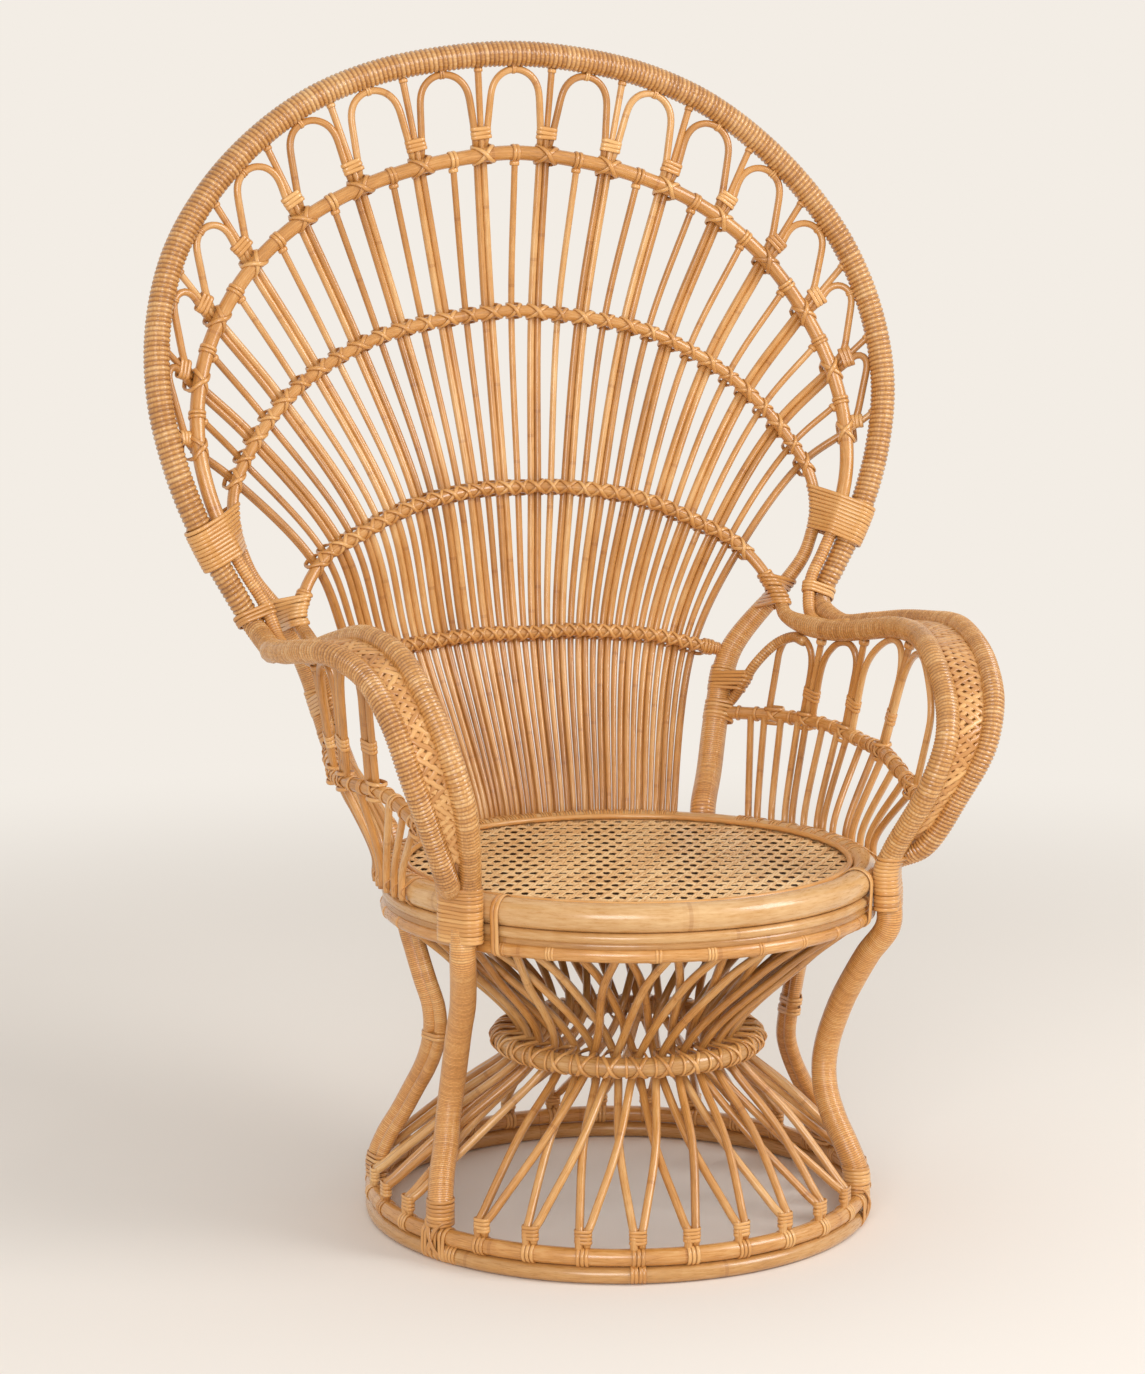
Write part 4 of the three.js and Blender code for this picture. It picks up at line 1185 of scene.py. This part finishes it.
# Pieces of the seat
def build_seat():
    """The rim, the two thin hoops under it and the bead round the webbing."""
    rim = Builder()
    add_hoop(rim, RIM_RING, RIM_HEIGHT, SEAT_SETBACK, RIM_RADIUS, sides=20, step=8, tint=0.9)
    rim.finish("seat_rim_round", POLE_MATERIAL, "rattan_pole", "seat_rim")
    for index, name in enumerate(("apron_hoop_upper", "apron_hoop_middle")):
        apron = Builder()
        add_hoop(apron, APRON_RING, apron_height(index), SEAT_SETBACK, APRON_RADII[index] + 1, sides=12)
        apron.finish(name + "_round", POLE_MATERIAL, "rattan_pole", name)
    bead = Builder()
    bead_height = SEAT_HEIGHT - WEBBING_DROP + GAP + BEAD_RADIUS * THIN_FLAT
    bead_ring = RIM_RING - math.sqrt(2) * (RIM_RADIUS + BEAD_RADIUS + GAP) + bead_height - RIM_HEIGHT
    add_hoop(bead, bead_ring, bead_height, SEAT_SETBACK, BEAD_RADIUS, sides=8, tint=0.5)
    bead.finish("webbing_bead_round", STRAND_MATERIAL, "cane_webbing", "webbing_bead")


def weave_seat():
    """Woven cane, level strands in threes and slanting ones in pairs, and a dark sheet under it: painted
    shade.
    """
    radius = RIM_RING - RIM_RADIUS - GAP + 1
    top = SEAT_HEIGHT - WEBBING_DROP - 2 * WEAVE_THICKNESS
    slant = math.atan2(WEAVE_COLUMN / 2, WEAVE_LINE)

    def strand(piece, origin, direction, width, phase, level, wave=0.55):
        """One straight strand across the round, waving up and down where it crosses others."""
        along = origin @ direction
        room = radius ** 2 - (origin @ origin - along ** 2)
        if room < 400:
            return
        reach = math.sqrt(room)
        steps = np.arange(-along - reach, -along + reach, WEAVE_STEP)
        flat = (origin + steps[:, None] * direction) @ WEAVE_TURN
        height = top + level + wave * np.sin(steps * 2 * np.pi / WEAVE_WAVE + phase)
        path = np.column_stack([flat[:, 0], flat[:, 1] + SEAT_SETBACK, height])
        add_strip(piece, path, np.tile(UP, (len(path), 1)), width, WEAVE_THICKNESS)

    web = Builder()
    rows = int(radius / WEAVE_LINE) + 1
    for row in range(-rows, rows + 1):
        for offset in (-3.8, 0, 3.8):
            origin = np.array([0, (row + 0.5) * WEAVE_LINE + offset])
            strand(web, origin, np.array([1.0, 0]), 3.7, row * np.pi, 0)
    columns = int(radius * 2 / WEAVE_COLUMN)
    for sign in (-1, 1):
        direction = np.array([sign * math.sin(slant), math.cos(slant)])
        for index in range(-columns, columns + 1):
            for offset in (-1.8, 1.8):
                origin = np.array([(index + 0.5) * WEAVE_COLUMN + offset, 0.0])
                strand(web, origin, direction, 3.5, index * np.pi + sign, 0.45 * sign)
    web.finish("seat_weave", WEB_MATERIAL, "cane_webbing", "seat_webbing")

    # A dark sheet of painted shade, for the dark seen through the weave's holes
    under = Builder()
    rows = int(radius / SHADE_SHEET_PITCH)
    for row in range(-rows, rows + 1):
        origin = np.array([row * SHADE_SHEET_PITCH, 0.0])
        strand(under, origin, np.array([0, 1.0]), SHADE_SHEET_PITCH + 0.4, 0, -SHADE_SHEET_DROP, 0)
    under.finish("seat_painted_shade_sheet", SHADED_MATERIAL, "cane_webbing")


def tie_spokes():
    """Thin strands that tie the spokes and the arms' upright canes to the rim."""
    ties = Builder()
    angles = [post * RIM_PITCH for post in np.arange(DOUBLES[0], DOUBLES[-1] + 0.5, 0.5)]
    for degrees in UPRIGHT_FEET:
        angles += [math.radians(degrees), -math.radians(degrees)]
    for angle in angles:
        angle += rng.uniform(-0.006, 0.006)
        along = along_ring(angle)
        rim = around_seat(RIM_RING, angle, RIM_HEIGHT)
        spoke = around_seat(RIM_OUTER + SPOKE_RADIUS, angle, RIM_HEIGHT + 2)
        for offset in (-3.4, 0, 3.4)[:2 + int(rng.random() < 0.5)]:
            circles = [(rim + along * offset, RIM_RADIUS + 0.2), (spoke + along * offset, SPOKE_RADIUS)]
            add_loop(ties, circles, along, 2.2, 1.2, rng.uniform(-0.06, 0.06))
    ties.finish("rim_ties", STRAND_MATERIAL, "rattan_cane")


# Pieces of the stand
def build_stand():
    """The base hoops and the waist, and the two layers of canes, each one with the hoop that carries it."""
    lower = Builder()
    add_hoop(lower, BASE_RING, BASE_RISE, BASE_SETBACK, BASE_RISE, step=8, tint=0.5)
    lower.finish("base_hoop_lower_round", POLE_MATERIAL, "rattan_pole", "base_hoop_lower")
    for name, side in (("base_hoop_upper", 1), ("apron_hoop_lower", -1)):
        body = Builder()
        if side > 0:
            add_hoop(body, BASE_RING, BASE_UPPER_HEIGHT, BASE_SETBACK, BASE_RISE, step=8, tint=0.45)
        else:
            add_hoop(body, APRON_RING, apron_height(2), SEAT_SETBACK, APRON_RADII[2] + 0.6, tint=0.5)
        for pair in range(LATTICE_PAIRS):
            if pair not in LEG_PAIRS:
                add_cane(body, eased_cane(pair, side), LATTICE_RADIUS + 0.6)
        body.finish(name + "_and_canes", CANE_MATERIAL, "rattan_pole", name)
    waist = Builder()
    add_hoop(waist, WAIST_RING, WAIST_HEIGHT, SEAT_SETBACK, WAIST_RADIUS)
    waist.finish("waist_hoop_round", POLE_MATERIAL, "rattan_pole", "waist_hoop")


def bind_stand():
    """Collars over the base, crossed strands round the waist and turns round the last apron."""
    foot = Builder()
    waist = Builder()
    head = Builder()
    half = LATTICE_RADIUS + GAP / 2
    for pair in range(LATTICE_PAIRS):
        if pair in LEG_PAIRS:
            continue
        angle = pair * 2 * math.pi / LATTICE_PAIRS + BASE_TURN
        along = along_ring(angle)
        middle = around_seat(BASE_RING, angle, BASE_UPPER_HEIGHT + BASE_RISE + 14, BASE_SETBACK)
        circles = [(middle - along * half, LATTICE_RADIUS), (middle + along * half, LATTICE_RADIUS)]
        add_collar(foot, circles, UP, turns=4, pitch=4.4, width=4.2, thickness=1.3)
        middle = around_seat(BASE_RING, angle, BASE_UPPER_HEIGHT, BASE_SETBACK)
        add_collar(foot, [(middle, BASE_RISE)], along, turns=3, pitch=5.2, width=4.4, thickness=1.3)
    for pair in range(LATTICE_PAIRS):
        angle = pair * 2 * math.pi / LATTICE_PAIRS + BASE_TURN
        along = along_ring(angle)
        centre = around_seat(WAIST_RING, angle, WAIST_HEIGHT)
        add_cross(waist, centre, along, out_of_ring(angle), WAIST_RADIUS, WAIST_RADIUS + 19, 10, 4.8, 2)
        add_loop(waist, [(centre + along * 14.5, WAIST_RADIUS)], along, 3.4, 1.5, rng.uniform(-0.12, 0.12))
        angle -= math.radians(2)
        along = along_ring(angle)
        centre = around_seat(APRON_RING, angle, apron_height(2))
        if rng.random() < 0.94:
            turns = 2 + int(rng.random() < 0.4)
            circles = [(centre, APRON_RADII[2])]
            add_collar(head, circles, along, turns, pitch=3.6, width=3.2, thickness=1.2, sway=0.1)
            inside = around_seat(APRON_RING - APRON_RADII[2] - 3, angle, apron_height(2) - 7)
            circles = [(inside, 5.2), (inside + along * 4, 5.2)]
            add_collar(head, circles, UP, turns=2, pitch=3.2, width=3, thickness=1.2, sway=0.1)
    foot.finish("base_bindings", STRAND_MATERIAL, "rattan_cane")
    waist.finish("waist_bindings", STRAND_MATERIAL, "rattan_cane")
    head.finish("apron_bindings", STRAND_MATERIAL, "rattan_cane")


def add_second_cane(pole, points, hand):
    """The thinner cane that runs beside each rear leg, towards the front."""
    path = spline(points, 16)
    axis = np.array([0, lerp(BASE_SETBACK, SEAT_SETBACK, 0.5), 0])
    outward = unit((path - axis) * [1, 1, 0])
    forward = np.cross(UP, outward) * -hand * SECOND_CANE_SPREAD
    beside = path - outward * SECOND_CANE_INSET + forward * (0.94 + 0.06 * np.sin(path[:, 2:] / 60))
    add_wrap(pole, beside[4:-4], SECOND_CANE_RADIUS, 2.4, 0.4, 10)


# Pieces of the arms and the legs
def inner_rail_radii(path):
    """The inner rail starts thin behind the back's arcs."""
    thin = 9
    share = ramped(lengths(path), 25, 100)
    return thin + (RAIL_RADIUS - thin) * share * share * (3 - 2 * share)


def post_radii(path):
    """Thin above the junction with the middle arc, thick below it."""
    radii = (POST_RADIUS + 4, POST_RADIUS + 2.4, POST_RADIUS, 10, CREST_END_RADIUS)
    return np.interp(path[:, 2], (560, 640, 700, 722, 800), radii)


def build_arms():
    """The wound rails, posts, legs and braces, and the arms' panels."""
    for side, hand in HANDS:
        flip = np.array([hand, 1, 1])
        for name, points, radius, pitch, height, material in (
            ("inner_arm_rail", inner_rail(hand) * flip, inner_rail_radii, 4.6, 1.4, WRAP_MATERIAL),
            ("rear_post", post_path(hand) * flip, post_radii, 3.0, 0.7, FINE_WRAP_MATERIAL),
            ("front_leg", leg_points(FRONT_LEG_SHARES, hand), LEG_RADIUS, 2.4, 0.5, FINE_WRAP_MATERIAL),
            ("rear_leg", leg_points(REAR_LEG_SHARES, hand), REAR_CANE_RADIUS, 2.4, 0.4, FINE_WRAP_MATERIAL),
        ):
            pole = Builder()
            path = spline(points, 16)
            if name in WOUND_FROM:
                path = path[int(np.argmax(path[:, 2] < WOUND_FROM[name])):]
            add_wrap(pole, path, radius, pitch, height)
            if name == "rear_leg":
                add_second_cane(pole, points, hand)
            if name == "rear_post":
                add_wrap(pole, spline(np.array(CREST_END, float) * flip, 16), CREST_END_RADIUS, 4, 0.9, 10)
                end = place(LOWER_SHARES[-2:], BACK_SIZES)
                add_wrap(pole, np.array([lerp(end[0], end[1], 0.35), end[1]]) * flip, 9, 3.4, 0.7, 10)
            pole.finish(f"{name}_{side}_wound", material, "rattan_pole", f"{name}_{side}")
        brace = Builder()
        add_wrap(brace, spline(brace_points(hand) * flip, 16), BRACE_RADIUS + 0.5, 4, 0.8, 10)
        brace.finish(f"arm_brace_{side}_wound", WRAP_MATERIAL, "rattan_cane", f"arm_brace_{side}")
        build_arm_panel(side, hand)


def build_arm_panel(side, hand):
    """The middle rail, the petals with their posts, and the upright canes below."""
    flip = np.array([hand, 1, 1])
    face = ArmFace(hand)
    panel = Builder()
    add_cane(panel, smooth(face.mid * flip), MID_RAIL_RADIUS, 12, tint=0.4)
    spread = 2 * ARM_PETAL_RADIUS + GAP
    for column in range(1, face.posts + 1):
        post = [face.at(column, share) for share in np.linspace(0, face.top(column, -3), 12)]
        add_cane(panel, np.array(post) * flip, ARM_PETAL_RADIUS + 0.5)
    for column in range(face.posts + 1):
        left = face.offset(column, spread) if column else 0
        right = face.offset(column + 1, -spread) if column < face.posts else column + 1
        middle, half = (left + right) / 2, (right - left) / 2
        apex = face.top(middle, ARM_PETAL_RADIUS - 1)
        arch = [(middle - half * math.cos(turn) * (1 + 0.1 * math.sin(turn)),
                 ARM_SPRING + (apex - ARM_SPRING) * math.sin(turn)) for turn in np.linspace(0, math.pi, 11)]
        run = [(left, 0), (left, ARM_SPRING * 0.5), *arch, (right, ARM_SPRING * 0.5), (right, 0)]
        points = np.array([face.at(spot, share) for spot, share in run])
        add_cane(panel, smooth(points * flip, 5), ARM_PETAL_RADIUS + 0.5)
    ring = RIM_OUTER + SPINDLE_RADIUS + GAP
    for share, degrees in zip(UPRIGHT_TOPS, UPRIGHT_FEET):
        angle = math.radians(degrees)
        points = np.array([along_curve(face.mid, share), around_seat(ring, angle, SEAT_HEIGHT + 4),
                           around_seat(ring, angle, RIM_HEIGHT - 8)])
        add_cane(panel, smooth(points * flip, 6), SPINDLE_RADIUS)
    panel.finish(f"arm_panel_{side}_round", CANE_MATERIAL, "rattan_cane", f"arm_panel_{side}")


def in_parts(path, count):
    """The path at even shares of its length."""
    run = lengths(path)
    shares = np.linspace(0, 1, count)
    return np.column_stack([np.interp(shares, run / run[-1], path[:, axis]) for axis in range(3)])


def plait_arm(side, hand):
    """The plaited band between an arm's rails: leaf-shaped strands that cross over a darker woven strip."""
    flip = np.array([hand, 1, 1])
    edges = []
    for rail, level in ((outer_rail(hand), PLAIT_START[0]), (inner_rail(hand), PLAIT_START[1])):
        path = spline(rail, 24)
        first = int(np.argmax(path[:, 1] < level))
        last = len(path) - 1 - int(np.argmax(path[::-1, 2] > PLAIT_END))
        edges.append(path[first:last + 1])
    outer, inner = [in_parts(path, PLAIT_ROWS) for path in edges]
    across = unit(inner - outer)
    half = np.maximum(np.linalg.norm(inner - outer, axis=1) / 2 - RAIL_RADIUS + 1, 2)
    middle = (outer + inner) / 2
    along = unit(np.gradient(middle, axis=0))
    normals = unit(np.cross(along, across))
    if normals[PLAIT_ROWS // 2] @ np.array([0.3, -1, 0.4]) < 0:
        normals = -normals
    run = lengths(middle)
    band = Builder()
    for lane in np.linspace(-0.85, 0.85, 5):
        path = middle + across * (half * lane)[:, None] - normals * 0.3
        add_strip(band, path * flip, normals * flip, 9.4, 1.4, 0.3)
    for family in (-1, 1):
        start = 4.0 + 5.5 * (family > 0)
        while start < run[-1] - 16:
            index = int(np.argmin(np.abs(run - start)))
            width = half[index] + 3
            shares = np.linspace(-1, 1, 9)
            rows = np.array([int(np.argmin(np.abs(run - (start + PLAIT_LEAF * share)))) for share in shares])
            bulge = 1 - shares ** 2
            leaf = (middle[rows] + across[rows] * (family * width * shares)[:, None]
                    + normals[rows] * (0.5 + 3.2 * bulge + rng.uniform(-0.5, 0.5))[:, None])
            add_strip(band, leaf * flip, normals[rows] * flip, 6.6, 2.0, 0.35 + 0.5 * rng.random())
            start += PLAIT_PITCH + rng.uniform(-0.8, 0.8)
    band.finish(f"arm_plait_{side}", PLAIT_MATERIAL, "cane_webbing", f"arm_infill_{side}")


def bind_arms():
    """The collars and lashings where rails, posts, arcs and legs meet."""
    for side, hand in HANDS:
        flip = np.array([hand, 1, 1])
        strands = Builder()

        def dense(points):
            return respaced(spline(points, 24), 2) * flip

        hoop = dense(place(HOOP_SHARES, BACK_SIZES))
        hoop_and_rail = dense(np.vstack([place(HOOP_SHARES, BACK_SIZES), outer_rail(hand)[1:]]))
        crest = dense(place(CREST_SHARES, BACK_SIZES))
        upper = dense(place(UPPER_SHARES, BACK_SIZES))
        middle = dense(place(MIDDLE_SHARES, BACK_SIZES))
        lower = dense(place(LOWER_SHARES, BACK_SIZES))
        inner, outer, post = dense(inner_rail(hand)), dense(outer_rail(hand)), dense(post_path(hand))
        brace, middle_rail = dense(brace_points(hand)), dense(mid_rail(hand))
        sheath = dense(CREST_END)

        point = at_height(hoop, WIDE_BINDING_HEIGHT)
        poles = [(hoop, HOOP_RADIUS), (crest, 8), (upper, ARC_RADIUS)]
        add_binding(strands, poles, point, way_at(hoop, point), 11, 5, 5.1, 2.3, 0.012, 110)
        point = at_height(sheath, SHEATH_BINDING_HEIGHT)
        poles = [(hoop_and_rail, HOOP_RADIUS - 1), (sheath, CREST_END_RADIUS)]
        add_binding(strands, poles, point, way_at(sheath, point), 3, 5, 5, 2, 0.03, 46)
        point = (upper[-1] + middle[-1]) / 2
        axis = unit(way_at(upper, upper[-1]) + way_at(middle, middle[-1]))
        add_binding(strands, [(post, 12.4), (inner, 11)], point + axis * 2, axis, 8, 5, 5.2, 2.4, 0.03, 44)
        point = middle[-14]
        add_binding(strands, [(middle, ARC_RADIUS + 1)], point, way_at(middle, point), 4, 4.6, 4.6, 1.6)
        point = lower[-9]
        add_binding(strands, [(lower, ARC_RADIUS + 1.6)], point, way_at(lower, point), 3, 4.6, 4.6, 1.6)
        point = at_height(post, BRACE_BINDING_HEIGHT)
        poles = [(post, POST_RADIUS + 2.6), (brace, BRACE_RADIUS + 0.5)]
        add_binding(strands, poles, point, way_at(post, point), 7, 4.8, 4.8, 1.6, 0.03, 52)
        point = at_height(post, MID_RAIL_BINDING_HEIGHT)
        start = middle_rail[8]
        for turn in np.linspace(-10, 10, 5):
            here = at_height(post, MID_RAIL_BINDING_HEIGHT + turn)
            circles = [(here, POST_RADIUS + 3), (np.array([start[0], start[1], here[2]]), 6)]
            add_loop(strands, circles, way_at(post, point), 4.8, 1.6, rng.uniform(-0.03, 0.03))
        for height in LASHING_HEIGHTS:
            rail = at_height(outer, max(height, LASHING_TOP))
            second = at_height(inner, max(height, LASHING_TOP))
            circles = [(np.array([*rail[:2], height]), RAIL_RADIUS + 1),
                       (np.array([*second[:2], height]), RAIL_RADIUS)]
            add_loop(strands, circles, UP, 5, 1.6, rng.uniform(-0.025, 0.025))
        between = (outer[-1] + inner[-1]) / 2
        angle = math.atan2(between[0], between[1] - SEAT_SETBACK) + hand * math.radians(6.5)
        for offset in (0, hand * 0.018):
            along = along_ring(angle + offset)
            circles = [(around_seat(RIM_RING, angle + offset, RIM_HEIGHT), RIM_RADIUS + 1),
                       (around_seat(APRON_RING, angle + offset, apron_height(2)), APRON_RADII[2] + 1)]
            add_loop(strands, circles, along, 5.4, 1.6)
        bind_feet(strands, hand)
        bind_arm_petals(strands, hand)
        strands.finish(f"arm_bindings_{side}", STRAND_MATERIAL, "rattan_cane")


def at_leg(leg, height):
    path = spline(leg, 16)[::-1]
    return np.array([np.interp(height, path[:, 2], path[:, axis]) for axis in range(3)])


def bind_arm_petals(strands, hand):
    """Triple collars where the arm's petals meet, and crosses and turns along its middle rail."""
    flip = np.array([hand, 1, 1])
    face = ArmFace(hand)
    spread = 2 * ARM_PETAL_RADIUS + GAP
    for column in range(1, face.posts + 1):
        axis = unit(face.at(column, 0.5) - face.at(column, 0.1)) * flip
        circles = [(face.at(face.offset(column, offset), ARM_COLLAR) * flip, ARM_PETAL_RADIUS)
                   for offset in (-spread, spread, 0)]
        add_collar(strands, circles, axis, 3, 5.2, 5.2, 1.5)
        neck = face.at(column, face.top(column, 4)) * flip
        add_collar(strands, [(neck, ARM_PETAL_RADIUS + 1)], axis, 1, 4, 7, 1.8)
    path = spline(face.mid, 32)
    last = len(path) - 1
    for share in np.linspace(0.05, 0.93, 22):
        spot = int(share * last)
        centre, along = path[spot], unit(path[min(spot + 2, last)] - path[max(spot - 2, 0)])
        inward = unit(np.cross(along, UP))
        inward = -inward if inward[0] > 0 else inward
        nearest = min(abs(share - foot) for foot in face.feet)
        if nearest < 0.022:
            for side in (1, -1):
                add_cross(strands, centre * flip, along * flip, inward * side * flip, MID_RAIL_RADIUS,
                          MID_RAIL_RADIUS + 2, 13, 4.8, 1.6)
        else:
            turns = 1 + int(rng.random() < 0.4)
            add_collar(strands, [(centre * flip, MID_RAIL_RADIUS)], along * flip, turns, 4.6, 4.4, 1.6, 0.15)


def bind_feet(strands, hand):
    """Collars at the legs' feet, with crossed strands over the base hoops, and bands up the rear leg."""
    leg = leg_points(FRONT_LEG_SHARES, hand)
    foot = leg[-1]
    for height in np.linspace(foot[2] + 3, foot[2] + 30, 7):
        add_loop(strands, [(at_leg(leg, height), LEG_RADIUS)], UP, 4.8, 1.6, rng.uniform(-0.05, 0.05))
    angle = math.atan2(foot[0], foot[1] - BASE_SETBACK)
    for offset in (-0.056, -0.038, -0.013, 0.013, 0.038, 0.056):
        here = angle + offset
        along = along_ring(here)
        circles = [(around_seat(BASE_RING, here, BASE_RISE + 1.5, BASE_SETBACK), BASE_RISE),
                   (around_seat(BASE_RING, here, BASE_UPPER_HEIGHT, BASE_SETBACK), BASE_RISE)]
        add_loop(strands, circles, along, 5, 1.8, rng.uniform(-0.08, 0.08), 0.7)
    front = out_of_ring(angle)
    along = along_ring(angle)
    centre = around_seat(BASE_RING, angle, BASE_UPPER_HEIGHT - 4, BASE_SETBACK)
    for half_width in (11, 17):
        add_cross(strands, centre, along, front, BASE_RISE + 2, BASE_RISE + 3, half_width, 5, 2,
                  2 * BASE_RISE + 1)
    rear = leg_points(REAR_LEG_SHARES, hand)
    bands = (232, 237) if hand < 0 else (226, 231, 240, 245)
    for height in (*bands, *np.linspace(rear[-1][2] + 3, rear[-1][2] + 30, 6)):
        middle_leg = at_leg(rear, height)
        outward = unit((middle_leg - [0, SEAT_SETBACK, 0]) * [1, 1, 0])
        forward = np.cross(UP, outward) * -hand
        second = middle_leg - outward * SECOND_CANE_INSET + forward * SECOND_CANE_SPREAD
        add_loop(strands, [(middle_leg, REAR_CANE_RADIUS), (second, SECOND_CANE_RADIUS)], UP, 4.6, 1.5)
    for splice in SPLICES:
        along = along_ring(splice)
        if hand * math.sin(splice) > 0:
            centre = around_seat(BASE_RING, splice, BASE_RISE + 1.5, BASE_SETBACK)
            add_collar(strands, [(centre, BASE_RISE)], along, 4, 4.8, 4.6, 1.4)


build_back()
bind_fan()
build_seat()
weave_seat()
tie_spokes()
build_stand()
bind_stand()
build_arms()
plait_arm("left", -1)
plait_arm("right", 1)
bind_arms()

# Camera, at the photograph's viewing place
bpy.context.scene.view_settings.view_transform = "Standard"
camera_data = bpy.data.cameras.new("camera")
camera = bpy.data.objects.new("camera", camera_data)
bpy.context.scene.collection.objects.link(camera)
camera_data.sensor_fit = "VERTICAL"
camera_data.sensor_height = 36
camera_data.sensor_width = 36
camera_data.lens = 86.46
camera_data.clip_end = 100
CAMERA_PITCH = math.radians(8.49)
CAMERA_YAW = math.radians(-19.73)
camera.location = (-1.3886, -3.6867 + SHIFT[1], 1.2402)
camera.rotation_euler = (math.pi / 2 - CAMERA_PITCH, 0, CAMERA_YAW)
bpy.context.scene.camera = camera

# Floor and backdrop: one wide flat floor, which the camera sees plain away from the chair and with its shadow
# near it
PALE = linear((243, 237, 229))


def build_sweep():
    mesh = bpy.data.meshes.new("floor")
    mesh.from_pydata([(-30, -30, 0), (30, -30, 0), (30, 30, 0), (-30, 30, 0)], [], [(0, 1, 2, 3)])
    sweep = bpy.data.objects.new("floor", mesh)
    bpy.context.scene.collection.objects.link(sweep)
    n = Nodes("pale_floor")
    n.shader.inputs["Base Color"].default_value = (0.88, 0.825, 0.76, 1)
    n.shader.inputs["Roughness"].default_value = 0.95
    n.shader.inputs["Specular IOR Level"].default_value = 0.1
    glow = n.node("ShaderNodeEmission")
    glow.inputs["Color"].default_value = (*PALE, 1)
    position = n.node("ShaderNodeNewGeometry").outputs["Position"]
    away = n.node("ShaderNodeVectorMath", operation="LENGTH")
    n.link(position, away.inputs[0])
    far = n.node("ShaderNodeMapRange", interpolation_type="SMOOTHSTEP")
    n.link(away.outputs["Value"], far.inputs["Value"])
    far.inputs["From Min"].default_value = 1.5
    far.inputs["From Max"].default_value = 3.2
    seen = n.node("ShaderNodeLightPath").outputs["Is Camera Ray"]
    blend = n.node("ShaderNodeMixShader")
    n.link(n.math("MULTIPLY", far.outputs["Result"], seen), blend.inputs[0])
    n.link(n.shader.outputs[0], blend.inputs[1])
    n.link(glow.outputs[0], blend.inputs[2])
    n.link(blend.outputs[0], n.tree.nodes["Material Output"].inputs["Surface"])
    mesh.materials.append(n.material)


def build_world():
    world = bpy.context.scene.world or bpy.data.worlds.new("world")
    bpy.context.scene.world = world
    world.use_nodes = True
    tree = world.node_tree
    light = tree.nodes["Background"]
    light.inputs["Color"].default_value = (1.0, 0.985, 0.965, 1)
    light.inputs["Strength"].default_value = 0.68
    seen = tree.nodes.new("ShaderNodeBackground")
    seen.inputs["Color"].default_value = (*PALE, 1)
    path = tree.nodes.new("ShaderNodeLightPath")
    either = tree.nodes.new("ShaderNodeMath")
    either.operation = "MAXIMUM"
    tree.links.new(path.outputs["Is Camera Ray"], either.inputs[0])
    tree.links.new(path.outputs["Is Glossy Ray"], either.inputs[1])
    blend = tree.nodes.new("ShaderNodeMixShader")
    tree.links.new(either.outputs[0], blend.inputs[0])
    tree.links.new(light.outputs[0], blend.inputs[1])
    tree.links.new(seen.outputs[0], blend.inputs[2])
    tree.links.new(blend.outputs[0], tree.nodes["World Output"].inputs["Surface"])


def lamp(name, spot, target, size, power):
    data = bpy.data.lights.new(name, "AREA")
    data.size = size
    data.energy = power
    light = bpy.data.objects.new(name, data)
    bpy.context.scene.collection.objects.link(light)
    light.location = spot
    light.rotation_euler = (Vector(target) - Vector(spot)).to_track_quat("-Z", "Y").to_euler()


build_sweep()
build_world()
lamp("key", (2.9, -2.4, 2.8), (0, 0, 0.6), 1.8, 86)
lamp("fill", (-2.2, -4.4, 2.2), (0, 0, 0.6), 2, 96)
